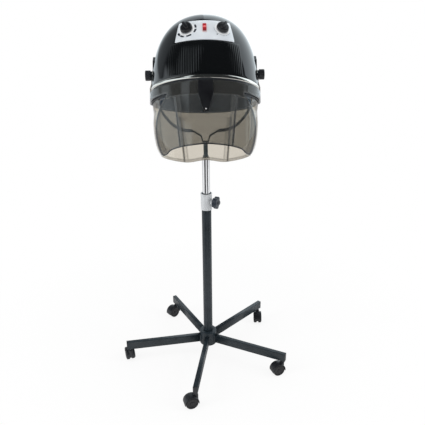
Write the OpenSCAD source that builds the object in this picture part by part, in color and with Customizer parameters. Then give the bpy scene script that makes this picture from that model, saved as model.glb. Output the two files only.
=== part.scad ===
// Standing hood dryer: a domed hair-drying hood with a lift-up tinted visor, carried by a
// yoke on a height-adjustable column with a five-leg castered base.
// Origin: on the floor, on the column's axis. +Z is up and the hood faces -Y.

/* [Casters] */
// Diameter of each caster wheel
wheel_d = 42; // [36:1:50]
// Width of one wheel of the pair
wheel_w = 11.5; // [9:0.5:14]
// Thickness of the web between the two wheels
caster_web = 6; // [5:0.5:8]
// Thickness of the cover over the wheels
caster_cover = 2; // [1.6:0.2:3]
// Distance from the swivel axis to the axle
caster_trail = 16; // [12:0.5:18]
// Diameter of the swivel stem
caster_stem_d = 10; // [8:0.5:11]
// Length of stem between the cover and the leg
caster_stem_show = 6.5; // [3:0.5:9]
// Diameter of the axle pin
axle_d = 5; // [4:0.5:6]

/* [Base] */
// Radius from the column's axis to a leg's end
leg_reach = 298; // [260:1:340]
// Height of a leg's tube
leg_h = 30; // [26:1:40]
// Width of a leg's tube
leg_w = 15; // [14:0.5:20]
// Wall of a leg's tube
leg_wall = 1.5; // [1.2:0.1:2]
// Distance from a leg's end to its caster
caster_inset = 12; // [11:0.5:20]
// Diameter of the hub that the legs are welded to
hub_d = 60; // [54:1:80]
// How far the hub stands above the legs
hub_rise = 15; // [8:1:30]
// How far the hub hangs below the legs
hub_drop = 8; // [4:0.5:12]
// Thickness of the hub's floor
hub_floor = 6; // [4:0.5:8]
// Turn of the five legs about the column, seen from above
star_turn = -27; // [-36:1:36]

/* [Column] */
// Diameter of the painted outer tube
outer_tube_d = 32; // [30:0.5:38]
// Wall of the outer tube
outer_tube_wall = 1.5; // [1.2:0.1:2]
// Length of the outer tube
outer_tube_len = 560; // [480:5:640]
// Diameter of the chromed inner tube
inner_tube_d = 25; // [22:0.5:26]
// Wall of the inner tube
inner_tube_wall = 1.2; // [1:0.1:1.8]
// Length of the inner tube
inner_tube_len = 480; // [440:5:520]
// Length of inner tube that shows above the collar at rest
inner_tube_show = 119; // [112:1:140]
// Diameter of the collar on the outer tube
collar_d = 37; // [36:0.5:46]
// Length of the collar
collar_len = 57; // [50:1:70]
// Length of the collar that grips the outer tube
collar_grip = 38; // [34:1:44]
// Height of the clamp screw above the collar's lower end
clamp_rise = 28; // [24:1:28]
// Direction of the clamp screw, seen from above
clamp_turn = -27; // [-80:1:80]
// Diameter of the clamp screw
clamp_screw_d = 8; // [6:0.5:9]
// Diameter over the lobes of the clamp knob
clamp_knob_d = 42; // [34:1:46]
// Thickness of the clamp knob
clamp_knob_h = 15; // [12:0.5:20]
// Gap between the collar's boss and the clamp knob
clamp_gap = 4; // [2:0.5:8]

/* [Yoke] */
// Diameter of the yoke's stem
stem_d = 14; // [12:0.5:16]
// Length of stem that shows above its bush
stem_show = 50; // [40:1:80]
// Length of stem inside the inner tube
stem_depth = 66; // [60:1:90]
// Height of the V that joins the stem to the yoke's arms
vee_rise = 36.5; // [30:0.5:46]
// Width of the flat bar
bar_w = 13; // [10:0.5:15]
// Thickness of the flat bar
bar_t = 3.5; // [3:0.5:5]
// Distance from the tilt axis to the yoke's lower bar
yoke_reach = 205; // [202:1:225]
// Backward lean of the yoke's arms from vertical
yoke_lean = 26.8; // [25:0.1:34]
// Half the width at which the yoke's lower bar turns down
yoke_foot_half = 40; // [34:1:50]
// Diameter of the eye at the end of each arm
yoke_eye_d = 24; // [20:1:30]

/* [Hood shell] */
// Radius of the dome at its base
dome_r = 150; // [140:1:170]
// Height of the dome above the middle of the trim ring
dome_h = 207; // [190:1:230]
// Wall of the dome
dome_wall = 3; // [2:0.5:4]
// Height of the tilt axis above the trim ring
pivot_rise = 49; // [46:1:54]
// Backward tilt of the hood at rest
hood_tilt = 24; // [22:1:40]
// Height of the trim ring
ring_h = 15; // [10:0.5:20]
// How far the trim ring stands out from the dome's base
ring_proud = 3; // [2.5:0.5:5]
// Depth of the ribbed band's lower edge at the front, below the trim ring's middle
band_depth = 42; // [38:1:50]
// Lean of the hood's mouth, which hangs lower at the front than at the back
mouth_lean = 2.8; // [0:0.2:4]
// How far the flat cheeks lie inside the dome's largest radius
cheek_sink = 3.5; // [2.5:0.5:5]
// Wall of the ribbed band
band_wall = 2.6; // [2:0.1:3]
// Height of one rib on the band
band_rib = 0.6; // [0.3:0.1:0.8]

/* [Air bowl] */
// Radius of the bowl's mouth
bowl_r = 131; // [120:1:134]
// Depth of the bowl's straight mouth below the trim ring's middle
bowl_mouth = 24; // [20:1:26]
// How far the bowl's mouth flares out below that
bowl_flare = 6; // [3:0.5:8]
// Height of the bowl's crown above the trim ring's middle
bowl_crown = 60; // [50:1:62]
// Wall of the bowl
bowl_wall = 2.6; // [2:0.2:3.4]
// Diameter of the air holes
air_hole_d = 9; // [6:0.5:11]

/* [Visor and skirt] */
// Wall of the visor and of the skirt
clear_wall = 2.5; // [2:0.1:3]
// Air gap between the trim ring and the visor
visor_gap = 1; // [0.8:0.1:2]
// Half width of the visor where its side edge leaves the arms
visor_half_top = 103; // [96:1:112]
// Half width of the visor at its widest
visor_half_max = 137; // [130:1:144]
// Depth of the visor's lower edge at the middle
visor_depth = 172; // [160:1:190]
// How far the visor's lower corners hang below the middle
visor_corner_drop = 21; // [14:1:30]
// Depth of the skirt's lower edge at the back
skirt_depth = 178; // [165:1:190]
// How far the skirt's lower edge dips at its creases
skirt_dip = 9; // [4:1:12]
// Angle from the front at which the skirt begins
skirt_start = 57; // [50:1:66]
// Width of the raised creases
crease_w = 4; // [3:0.5:7]
// Height of the raised creases
crease_h = 1.2; // [0.8:0.1:1.8]

/* [Visor handle] */
// Width of the handle at its top
handle_w = 38.5; // [32:0.5:50]
// Width of the handle near its tip
handle_tip_w = 15; // [10:1:22]
// Length of the handle
handle_len = 81; // [60:1:90]
// Thickness of the handle
handle_t = 5; // [4:0.5:8]

/* [Controls] */
// Height of the control panel's lower edge above the trim ring
panel_low = 101; // [96:1:106]
// Height of the control panel's upper edge above the trim ring
panel_high = 163; // [156:1:168]
// Half width of the control panel's lower edge
panel_half_low = 79; // [74:1:86]
// Half width of the control panel's upper edge
panel_half_high = 68; // [60:1:72]
// Thickness of the control panel
panel_t = 2; // [1.4:0.1:2.4]
// Diameter of the two control knobs
control_knob_d = 34; // [28:1:38]
// Height of the two control knobs
control_knob_h = 15; // [12:0.5:20]
// Angle of each control knob from the middle of the panel
control_turn = 21.5; // [19:0.5:24]
// Width of the power rocker
rocker_w = 9.5; // [8:0.5:12]
// Length of the power rocker
rocker_len = 25; // [20:1:28]
// Swing of the power rocker from off to on
rocker_swing = 14; // [8:1:16]

/* [Tilt locks] */
// Diameter of each tilt knob
tilt_knob_d = 29; // [26:1:36]
// Thickness of each tilt knob
tilt_knob_h = 15; // [10:0.5:20]
// Diameter of each tilt screw
tilt_screw_d = 8; // [6:0.5:10]

/* [Blower] */
// Diameter of the fan
fan_d = 132; // [110:1:140]
// Height of the fan
fan_h = 17; // [12:1:18]
// Number of fan blades
fan_blades = 16; // [8:1:20]
// Diameter of the motor
motor_d = 62; // [50:1:66]
// Length of the motor
motor_len = 48; // [40:1:52]

/* [Hidden] */

// Overrun of a cutting tool past the face it cuts
cut = 1;
// Radial clearance of a running fit
run_gap = 0.05;
// Radial clearance of a sliding fit
slide_gap = 0.1;
// Gap between pieces that pass each other
pass_gap = 0.5;
// Facets of large and small round forms
big_fn = 96;
small_fn = 40;

// Heights of the stand, from the floor up
axle_z = wheel_d / 2;
cover_gap = 1.2;
cover_r = wheel_d / 2 + cover_gap + caster_cover;
cover_top = axle_z + cover_r;
leg_z = cover_top + caster_stem_show + pass_gap;
leg_top = leg_z + leg_h;
hub_z = leg_z - hub_drop;
hub_top = leg_top + hub_rise;
tube_z = hub_z + hub_floor;
outer_tube_top = tube_z + outer_tube_len;
collar_z = outer_tube_top - collar_grip;
collar_top = collar_z + collar_len;
clamp_z = collar_z + clamp_rise;
inner_tube_top = collar_top + inner_tube_show;
stem_bush_flange = 3;
bush_top = inner_tube_top + stem_bush_flange;
stem_top = bush_top + stem_show;
bar_z = stem_top + vee_rise;

// Radii of the tubes
outer_tube_bore = outer_tube_d / 2 - outer_tube_wall;
inner_tube_bore = inner_tube_d / 2 - inner_tube_wall;

// Legs
leg_count = 5;
leg_step = 360 / leg_count;
caster_reach = leg_reach - caster_inset;
// Rest direction of each caster's trail, seen from above
caster_turns = [200, 268, 223, 109, 197];

// The dome's outline is a superellipse with these powers
dome_pow_r = 2.7;
dome_pow_z = 2.3;
bowl_pow = 2.3;
dome_steps = 18;
ring_half = ring_h / 2;

// Radii around the hood's rim, from the inside out
rim_gap = 0.4;
shell_r = max(dome_r, bowl_r + bowl_flare + 2 * bowl_wall + pass_gap + rim_gap + dome_wall);
bowl_rim_r = shell_r - dome_wall - rim_gap;
bowl_rim_rise = 6;
skirt_r = bowl_rim_r + rim_gap + clear_wall;
band_in_r = skirt_r + rim_gap;
band_r = band_in_r + band_wall;
ring_r = shell_r + ring_proud;
visor_in_r = max(ring_r, band_r + band_rib) + visor_gap;
visor_r = visor_in_r + clear_wall;

// Layers on the tilt axis, from the hood outward
cheek_r = shell_r - cheek_sink;
eye_gap = 0.6;
ear_in = cheek_r + eye_gap;
ear_out = ear_in + clear_wall;
yoke_in = ear_out + eye_gap;
yoke_out = yoke_in + bar_t;
knob_in = yoke_out + eye_gap;
ear_eye_d = 28;

// Tilt axis of the hood: the yoke's arms reach past the skirt
yoke_turn = yoke_lean + hood_tilt;
skirt_room = skirt_r + crease_h + pass_gap + (bar_t + bar_w * cos(yoke_turn)) / 2;
yoke_span = max(yoke_reach, skirt_room / sin(yoke_turn));
pivot_y = -yoke_span * sin(yoke_lean);
pivot_z = bar_z + yoke_span * cos(yoke_lean);

// The hood's mouth: a leaning plane, at its middle height on the hood's axis
mouth_z = band_r * tan(mouth_lean) - band_depth;

// Outline helpers
quarter_turn = 90;
function bezier(a, b, c, d, n) = [
    for (i = [0:n])
        let (t = i / n, u = 1 - t)
        u * u * u * a + 3 * u * u * t * b + 3 * u * t * t * c + t * t * t * d
];
function unit(v) = v / norm(v);
function left_of(v) = [-v[1], v[0]];
function heading(p, i) =
    unit(p[min(i + 1, len(p) - 1)] - p[max(i - 1, 0)]);
function flip(p) = [for (i = [len(p) - 1:-1:0]) p[i]];
function mirror_x(p) = [for (q = flip(p)) [-q[0], q[1]]];
// A strip of constant or changing width along a line of points
function strip(p, w0, w1) = concat(
    [for (i = [0:len(p) - 1]) p[i] + left_of(heading(p, i)) * (w0 + (w1 - w0) * i / (len(p) - 1)) / 2],
    flip([for (i = [0:len(p) - 1]) p[i] - left_of(heading(p, i)) * (w0 + (w1 - w0) * i / (len(p) - 1)) / 2])
);

// Outline of the dome: radius at a height, with the whole outline grown by g
function dome_at(z, g) =
    (shell_r + g) * pow(max(0, 1 - pow(max(0, z) / (dome_h + g), dome_pow_z)), 1 / dome_pow_r);
function dome_start(z, g) = asin(pow(z / (dome_h + g), dome_pow_z / 2));
function dome_curve(z0, z1, g, n) = let (
    t0 = dome_start(z0, g),
    t1 = z1 >= dome_h + g ? quarter_turn : dome_start(z1, g)
) [
    for (i = [0:n])
        let (t = t0 + (t1 - t0) * i / n)
        [t >= quarter_turn ? 0 : (shell_r + g) * pow(cos(t), 2 / dome_pow_r),
         (dome_h + g) * pow(sin(t), 2 / dome_pow_z)]
];
// The dome's outer face from its foot to its crown
function dome_outline() = dome_curve(ring_half, dome_h, 0, dome_steps);
// Angle of the dome's surface above the horizontal at a height
function dome_face(z) = let (d = dome_h / 200) atan((dome_at(z - d, 0) - dome_at(z + d, 0)) / (2 * d));
// Outline of the bowl's inner face, grown by g
bowl_h = bowl_crown + bowl_mouth;
function bowl_curve(g, n) = [
    for (i = [0:n])
        let (t = quarter_turn * i / n)
        [i == n ? 0 : (bowl_r + g) * pow(cos(t), 2 / bowl_pow),
         (bowl_h + g) * pow(sin(t), 2 / bowl_pow) - bowl_mouth]
];

// Frames in which the pieces are drawn
module in_hood() {
    translate([0, pivot_y, pivot_z])
        rotate([-hood_tilt, 0, 0])
            translate([0, 0, -pivot_rise])
                children();
}
module at_leg(i) {
    rotate([0, 0, star_turn + leg_step * i])
        children();
}
module at_caster(i) {
    at_leg(i)
        translate([caster_reach, 0, 0])
            rotate([0, 0, caster_turns[i] - star_turn - leg_step * i])
                children();
}
module at_clamp() {
    translate([0, 0, clamp_z])
        rotate([0, 90, clamp_turn])
            children();
}
// Along the hood's tilt axis, pointing outward on one side
module at_pivot(side) {
    translate([0, 0, pivot_rise])
        rotate([0, side * 90, 0])
            children();
}
// Standing on the dome's face at a height and an angle from the front
module on_dome(z, turn) {
    rotate([0, 0, turn])
        translate([0, -dome_at(z, 0), z])
            rotate([90 - dome_face(z), 0, 0])
                children();
}
// Turned shell: its outline lies in x and z
module turned(outline, fn = big_fn) {
    rotate_extrude($fn = fn)
        polygon(outline);
}
// A solid with its outline in x and z, reaching from y = 0 to the front or to the back
module front_view(depth) {
    rotate([90, 0, 0])
        linear_extrude(height = depth)
            children();
}
module back_view(depth) {
    translate([0, depth, 0])
        front_view(depth)
            children();
}
// The solid dome, for cutting what sits on it
module dome_core() {
    turned(concat([[0, ring_half]], dome_outline()));
}
// Slab that leans with the hood's mouth, from one distance above it to another
module mouth_slab(low, high) {
    translate([0, 0, mouth_z])
        rotate([mouth_lean, 0, 0])
            translate([-2 * shell_r, -2 * shell_r, low])
                cube([4 * shell_r, 4 * shell_r, high - low]);
}
// Tube with flat ends, standing on z = 0
module pipe(r, bore, h) {
    difference() {
        cylinder(r = r, h = h, $fn = small_fn);
        translate([0, 0, -cut])
            cylinder(r = bore, h = h + 2 * cut, $fn = small_fn);
    }
}

// Base
hub_foot_d = 44;
column_bolt_d = 10;
column_bolt_head = 17;
column_bolt_head_h = 6;
column_nut_h = 16;
module hub() {
    color("#23272c")
        difference() {
            translate([0, 0, hub_z])
                cylinder(d = hub_d, h = hub_top - hub_z, $fn = big_fn);
            translate([0, 0, tube_z])
                cylinder(d = outer_tube_d, h = hub_top, $fn = small_fn);
            translate([0, 0, hub_z - cut])
                cylinder(r = column_bolt_d / 2 + pass_gap, h = hub_floor + 2 * cut, $fn = small_fn);
        }
}
socket_wall = 1.5;
socket_r = caster_stem_d / 2 + run_gap + socket_wall;
socket_h = leg_h - leg_wall - 2 * pass_gap;
plug_flange = 2;
plug_depth = caster_inset - socket_r - pass_gap - plug_flange;
module leg(i) {
    color("#23272c")
        at_leg(i)
            difference() {
                translate([0, -leg_w / 2, leg_z])
                    cube([leg_reach - plug_flange, leg_w, leg_h]);
                translate([-cut, -leg_w / 2 + leg_wall, leg_z + leg_wall])
                    cube([leg_reach + 2 * cut, leg_w - 2 * leg_wall, leg_h - 2 * leg_wall]);
                translate([0, 0, leg_z - cut])
                    cylinder(d = hub_d, h = leg_h + 2 * cut, $fn = big_fn);
                translate([caster_reach, 0, leg_z - cut])
                    cylinder(r = socket_r, h = socket_h + cut, $fn = small_fn);
            }
}
module leg_end_plugs() {
    color("#1b1e22")
        for (i = [0:leg_count - 1])
            at_leg(i) {
                translate([leg_reach - plug_flange, -leg_w / 2, leg_z])
                    cube([plug_flange, leg_w, leg_h]);
                translate([leg_reach - plug_flange - plug_depth, leg_wall - leg_w / 2, leg_z + leg_wall])
                    cube([plug_depth, leg_w - 2 * leg_wall, leg_h - 2 * leg_wall]);
            }
}
module caster_sockets() {
    color("#2b2f34")
        for (i = [0:leg_count - 1])
            at_leg(i)
                translate([caster_reach, 0, leg_z])
                    pipe(socket_r, caster_stem_d / 2 + run_gap, socket_h);
}
module column_bolt() {
    color("#9da2a8") {
        translate([0, 0, hub_z - column_bolt_head_h])
            cylinder(d = column_bolt_head, h = column_bolt_head_h, $fn = 6);
        translate([0, 0, hub_z])
            cylinder(d = column_bolt_d, h = hub_floor + column_nut_h, $fn = small_fn);
        translate([0, 0, tube_z])
            pipe(outer_tube_bore, column_bolt_d / 2, column_nut_h);
    }
}

// Casters: the axle lies along y, and the trail runs along +x from the swivel axis
wheel_round = 3;
wheel_dish = 2;
wheel_dish_r = wheel_d / 2 - 2 * wheel_round;
well_gap = 0.4;
caster_boss_d = 16;
module caster_body(i) {
    half_w = caster_web / 2 + well_gap + wheel_w;
    color("#202429")
        at_caster(i)
            difference() {
                union() {
                    intersection() {
                        translate([caster_trail, half_w, axle_z])
                            rotate([90, 0, 0])
                                cylinder(r = cover_r, h = 2 * half_w, $fn = small_fn);
                        translate([caster_trail - 2 * cover_r, -2 * half_w, axle_z - caster_web / 2])
                            cube([4 * cover_r, 4 * half_w, 2 * cover_r]);
                    }
                    translate([0, 0, axle_z])
                        cylinder(d = caster_boss_d, h = cover_r, $fn = small_fn);
                    swivel_stem();
                }
                for (s = [-1, 1])
                    translate([caster_trail, s * (caster_web / 2 + half_w), axle_z])
                        rotate([90, 0, 0])
                            cylinder(r = wheel_d / 2 + cover_gap, h = 2 * half_w, center = true, $fn = small_fn);
                translate([caster_trail, half_w, axle_z])
                    rotate([90, 0, 0])
                        cylinder(r = axle_d / 2 + run_gap, h = 2 * half_w, $fn = small_fn);
            }
}
module swivel_stem() {
    translate([0, 0, axle_z + cover_r])
        cylinder(d = caster_stem_d, h = leg_z + socket_h - leg_wall - axle_z - cover_r, $fn = small_fn);
}
module caster_wheels(i) {
    color("#17191c")
        at_caster(i)
            translate([caster_trail, 0, axle_z])
                rotate([90, 0, 0]) {
                    for (s = [-1, 1])
                        on_side(s)
                            rotate_extrude($fn = small_fn)
                                polygon([
                                    [0, caster_web / 2 + well_gap],
                                    [wheel_d / 2 - wheel_round / 2, caster_web / 2 + well_gap],
                                    [wheel_d / 2, caster_web / 2 + well_gap + wheel_round / 2],
                                    [wheel_d / 2, caster_web / 2 + well_gap + wheel_w - wheel_round],
                                    [wheel_d / 2 - wheel_round, caster_web / 2 + well_gap + wheel_w],
                                    [wheel_dish_r, caster_web / 2 + well_gap + wheel_w],
                                    [wheel_dish_r - wheel_dish, caster_web / 2 + well_gap + wheel_w - wheel_dish],
                                    [0, caster_web / 2 + well_gap + wheel_w - wheel_dish]
                                ]);
                    cylinder(d = axle_d, h = caster_web + 2 * wheel_w - 2 * wheel_dish, center = true, $fn = small_fn);
                }
}
module on_side(s) {
    if (s > 0)
        children();
    else
        mirror([0, 0, 1])
            children();
}

// Column
clamp_boss_d = 18;
clamp_boss_h = 5;
clamp_hole_r = clamp_screw_d / 2 + run_gap;
collar_lip = 3;
module outer_tube() {
    color("#22262b")
        difference() {
            translate([0, 0, tube_z])
                pipe(outer_tube_d / 2, outer_tube_bore, outer_tube_len);
            at_clamp()
                cylinder(r = clamp_hole_r, h = outer_tube_d, $fn = small_fn);
        }
}
module tube_collar() {
    color("#c6c9cc")
        difference() {
            union() {
                translate([0, 0, collar_z])
                    cylinder(d = collar_d, h = collar_len, $fn = big_fn);
                translate([0, 0, collar_top - collar_lip])
                    cylinder(r = collar_d / 2 + pass_gap, h = collar_lip, $fn = big_fn);
                at_clamp()
                    cylinder(d = clamp_boss_d, h = collar_d / 2 + clamp_boss_h, $fn = small_fn);
            }
            translate([0, 0, collar_z - cut])
                cylinder(d = outer_tube_d, h = collar_len + 2 * cut, $fn = small_fn);
            at_clamp()
                cylinder(r = clamp_hole_r, h = collar_d + clamp_boss_h, $fn = small_fn);
        }
}
collar_bush_sunk = 1;
bush_slot_w = 5;
bush_slot_h = 7;
module collar_bush() {
    color("#17191c")
        difference() {
            translate([0, 0, outer_tube_top])
                pipe(outer_tube_d / 2, inner_tube_d / 2 + slide_gap, collar_top - collar_bush_sunk - outer_tube_top);
            translate([0, -bush_slot_w / 2, collar_top - bush_slot_h])
                cube([outer_tube_d, bush_slot_w, bush_slot_h]);
        }
}
clamp_knob_lobe_r = 8;
clamp_knob_lobes = 5;
clamp_knob_hub_d = 18;
clamp_knob_hub_h = 3;
module clamp_knob() {
    knob_z = collar_d / 2 + clamp_boss_h + clamp_gap;
    color("#1d2126")
        at_clamp() {
            translate([0, 0, inner_tube_d / 2 + slide_gap])
                cylinder(d = clamp_screw_d, h = knob_z - inner_tube_d / 2, $fn = small_fn);
            translate([0, 0, knob_z - clamp_knob_hub_h])
                cylinder(d = clamp_knob_hub_d, h = clamp_knob_hub_h, $fn = small_fn);
            difference() {
                translate([0, 0, knob_z])
                    cylinder(r = clamp_knob_d / 2, h = clamp_knob_h, $fn = small_fn);
                for (i = [0:clamp_knob_lobes - 1])
                    rotate([0, 0, 360 / clamp_knob_lobes * (i + 1 / 2)])
                        translate([clamp_knob_d / 2 + clamp_knob_lobe_r / 2, 0, knob_z - cut])
                            cylinder(r = clamp_knob_lobe_r, h = clamp_knob_h + 2 * cut, $fn = small_fn);
            }
        }
}
module inner_tube() {
    color("#d9dcdf")
        translate([0, 0, inner_tube_top - inner_tube_len])
            pipe(inner_tube_d / 2, inner_tube_bore, inner_tube_len);
}
foot_guide_h = 30;
module tube_foot_guide() {
    color("#17191c")
        translate([0, 0, inner_tube_top - inner_tube_len - foot_guide_h / 2]) {
            pipe(outer_tube_bore - slide_gap, inner_tube_bore - inner_tube_wall, foot_guide_h / 2);
            pipe(inner_tube_bore, inner_tube_bore - inner_tube_wall, foot_guide_h);
        }
}
stem_bush_h = 40;
module stem_bush() {
    color("#dcdcd6")
        translate([0, 0, inner_tube_top]) {
            translate([0, 0, -stem_bush_h])
                pipe(inner_tube_bore, stem_d / 2 + run_gap, stem_bush_h);
            pipe(inner_tube_d / 2, stem_d / 2 + run_gap, stem_bush_flange);
        }
}

// Yoke: the arms lie in a plane that leans back from the tilt axis
stop_ring_h = 5;
stop_ring_r = stem_d / 2 + 2;
module yoke_stem() {
    color("#2a2e33") {
        translate([0, 0, bush_top - stem_depth])
            cylinder(d = stem_d, h = stem_depth + stem_show, $fn = small_fn);
        translate([0, 0, bush_top + pass_gap])
            cylinder(r = stop_ring_r, h = stop_ring_h, $fn = small_fn);
    }
}
arm_shares = [[0.974, 0.488], [0.777, 0.927], [0.42, 0.99]];
arm_steps = 14;
arm_straight = 30;
vee_bend_half = 14;
vee_bend_share = 0.44;
vee_foot_half = stem_d / 2 + bar_t / 2;
function arm_at(q) = [(yoke_in + yoke_out) / 2 * q[0], -yoke_span * q[1]];
function arm_line() = concat(
    [arm_at([1, 0])],
    bezier(
        [(yoke_in + yoke_out) / 2, -arm_straight],
        arm_at(arm_shares[0]),
        arm_at(arm_shares[1]),
        arm_at(arm_shares[2]),
        arm_steps),
    [[yoke_foot_half, -yoke_span]]
);
module yoke() {
    color("#202429")
        difference() {
            union() {
                translate([0, pivot_y, pivot_z])
                    rotate([yoke_lean, 0, 0])
                        for (s = [0, 1])
                            mirror([s, 0, 0])
                                arm_and_eye();
                translate([0, bar_w / 2, 0])
                    front_view(bar_w)
                        polygon(vee_outline());
            }
            translate([0, pivot_y, pivot_z])
                rotate([0, 90, 0])
                    cylinder(r = tilt_screw_d / 2 + run_gap, h = 2 * yoke_out + 2 * cut, center = true, $fn = small_fn);
        }
}
module arm_and_eye() {
    translate([0, bar_w / 2, 0])
        front_view(bar_w)
            polygon(strip(arm_line(), bar_t, bar_t));
    translate([yoke_in, 0, 0])
        rotate([0, 90, 0])
            cylinder(d = yoke_eye_d, h = bar_t, $fn = small_fn);
}
function vee_outline() = concat(
    strip([
        [-yoke_foot_half - bar_t, bar_z],
        [-yoke_foot_half, bar_z],
        [-vee_bend_half, bar_z - vee_bend_share * vee_rise],
        [-vee_foot_half, stem_top + bar_t / 2],
        [vee_foot_half, stem_top + bar_t / 2],
        [vee_bend_half, bar_z - vee_bend_share * vee_rise],
        [yoke_foot_half, bar_z],
        [yoke_foot_half + bar_t, bar_z]
    ], bar_t, bar_t)
);

// Hood shell
slot_count = 9;
slot_w = 5;
slot_turn = 7;
slot_low = 62;
slot_high = 112;
gland_z = 26;
gland_d = 14;
gland_flange_d = 22;
gland_len = 18;
control_z = (panel_low + panel_high) / 2 + 2 * panel_t;
control_neck_d = 10;
module dome() {
    color("#0c0d0f")
        in_hood()
            difference() {
                turned(concat(
                    dome_outline(),
                    flip(dome_curve(ring_half, dome_h - dome_wall, -dome_wall, dome_steps))
                ));
                for (i = [0:slot_count - 1])
                    rotate([0, 0, (i - (slot_count - 1) / 2) * slot_turn])
                        translate([-slot_w / 2, bowl_r / 2, slot_low])
                            cube([slot_w, shell_r, slot_high - slot_low]);
                cheek_window();
                panel_holes();
                translate([0, 0, gland_z])
                    rotate([-90, 0, 0])
                        cylinder(d = gland_d, h = shell_r + cut, $fn = small_fn);
            }
}
module panel_holes() {
    for (s = [-1, 1])
        on_dome(control_z, s * control_turn)
            cylinder(d = control_neck_d, h = 4 * dome_wall, center = true, $fn = small_fn);
    on_dome(control_z, 0)
        cube([rocker_w + 2 * case_wall, rocker_len + 2 * case_wall, 6 * dome_wall], center = true);
}
ribs_low_gap = 2;
ribs_turn = 41;
front_rib_count = 34;
rib_share = 0.5;
rib_out = 1.2;
ribs_base = 1;
module front_ribs() {
    z0 = ring_half + ribs_low_gap;
    z1 = panel_low - ribs_low_gap;
    rib_step = 2 * ribs_turn / (front_rib_count - 1 + rib_share);
    color("#08090a")
        in_hood()
            intersection() {
                difference() {
                    turned(concat(
                        [[shell_r / 2, z1], [shell_r / 2, z0]],
                        dome_curve(z0, z1, ribs_base + rib_out, 5)
                    ));
                    dome_core();
                }
                translate([0, 0, z0 - cut])
                    linear_extrude(height = z1 - z0 + 2 * cut)
                        polygon(concat(
                            [[0, -shell_r / 2]],
                            [for (i = [0:2 * front_rib_count - 1])
                                let (a = -ribs_turn + rib_step * (floor(i / 2) + (i % 2) * rib_share))
                                each [
                                    ray(a, i % 2 == 0 ? shell_r + ribs_base : 2 * shell_r),
                                    ray(a, i % 2 == 0 ? 2 * shell_r : shell_r + ribs_base)
                                ]]
                        ));
            }
}
// A point at an angle from the front, seen from above
function ray(a, r) = [r * sin(a), -r * cos(a)];
module trim_ring() {
    bead = ring_half / 3;
    color("#d6d8da")
        in_hood()
            turned([
                [shell_r - dome_wall, -ring_half],
                [ring_r - bead, -ring_half],
                [ring_r, -ring_half + bead],
                [ring_r - bead / 2, -ring_half + 2 * bead],
                [ring_r, -bead / 2],
                [ring_r, bead / 2],
                [ring_r - bead / 2, ring_half - 2 * bead],
                [ring_r, ring_half - bead],
                [ring_r - bead, ring_half],
                [shell_r - dome_wall, ring_half]
            ]);
}
band_ribs = 96;
module ribbed_band() {
    color("#15171a")
        in_hood()
            difference() {
                translate([0, 0, -band_depth - cut])
                    linear_extrude(height = band_depth + cut - ring_half)
                        difference() {
                            polygon([
                                for (i = [0:4 * band_ribs - 1])
                                    let (
                                        a = 360 / band_ribs * (floor(i / 4) + (floor(i % 4 / 2) + (i % 2) / 2) / 2),
                                        r = floor(i % 4 / 2) == 0 ? band_r + band_rib : band_r
                                    )
                                    ray(a, r)
                            ]);
                            circle(r = band_in_r, $fn = 3 * big_fn);
                        }
                mouth_slab(-2 * band_depth, 0);
            }
}
bowl_steps = 12;
air_rows = [[16, 76], [14, 56], [9, 36], [4, 15]];
air_start_share = 0.45;
module air_bowl() {
    mid_r = bowl_r + bowl_wall / 2;
    color("#1b2029")
        in_hood()
            difference() {
                union() {
                    turned(concat(
                        [[bowl_r + bowl_flare, -band_depth - cut]],
                        bowl_curve(0, bowl_steps),
                        flip(bowl_curve(bowl_wall, bowl_steps)),
                        [[bowl_r + bowl_flare + bowl_wall, -band_depth - cut]]
                    ));
                    pipe_at(bowl_rim_r, bowl_rim_r - bowl_wall, -band_depth - cut, ring_half + bowl_rim_rise);
                    intersection() {
                        turned([
                            [mid_r, 0], [mid_r, -bowl_mouth], [mid_r + bowl_flare, -band_depth - cut],
                            [bowl_rim_r - bowl_wall / 2, -band_depth - cut], [bowl_rim_r - bowl_wall / 2, 0]
                        ]);
                        mouth_slab(0, bowl_wall);
                    }
                }
                mouth_slab(-2 * band_depth, 0);
                for (row = [0:len(air_rows) - 1])
                    for (i = [0:air_rows[row][0] - 1])
                        rotate([0, air_rows[row][1], 360 / air_rows[row][0] * (i + row / 2)])
                            translate([0, 0, air_start_share * bowl_r])
                                cylinder(d = air_hole_d, h = bowl_r, $fn = 20);
            }
}
module pipe_at(r, bore, z0, z1) {
    turned([[bore, z0], [r, z0], [r, z1], [bore, z1]]);
}
crease_top_share = 0.5;
crease_low_share = 0.4;
module rear_skirt() {
    z0 = -ring_half - rim_gap;
    color("#b9b3a8")
        in_hood()
            difference() {
                union() {
                    turned(skirt_section(0, clear_wall));
                    intersection() {
                        turned(skirt_section(-crease_h, clear_wall));
                        back_view(2 * shell_r)
                            for (s = [-1, 1])
                                polygon(crease_outline(s, skirt_r, -band_depth - rim_gap, -skirt_depth - skirt_dip));
                    }
                }
                translate([0, 0, -2 * skirt_depth])
                    linear_extrude(height = 3 * skirt_depth)
                        polygon([[0, 0], ray(-skirt_start, 3 * shell_r), ray(skirt_start, 3 * shell_r)]);
                translate([0, -shell_r, 0])
                    back_view(3 * shell_r)
                        polygon(skirt_hem());
            }
}
// The skirt's wall: its radius swells a little and draws in at the hem
skirt_shares = [[0, 1], [0.19, 1], [0.3, 0.976], [0.47, 0.99], [0.64, 0.976], [0.8, 0.94], [0.9, 0.9], [1, 0.83]];
function skirt_section(g, wall) = let (
    low = -skirt_depth - skirt_dip,
    top = -ring_half - rim_gap,
    outer = [for (q = skirt_shares) [skirt_r * q[1] - g, top + (low - top) * q[0]]]
) concat(outer, flip([for (q = outer) [q[0] - wall, q[1]]]));
function crease_outline(s, r, z0, z1) = [
    [s * (crease_top_share * r - crease_w / 2), z0],
    [s * (crease_top_share * r + crease_w / 2), z0],
    [s * (crease_low_share * r + crease_w / 2), z1],
    [s * (crease_low_share * r - crease_w / 2), z1]
];
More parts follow.
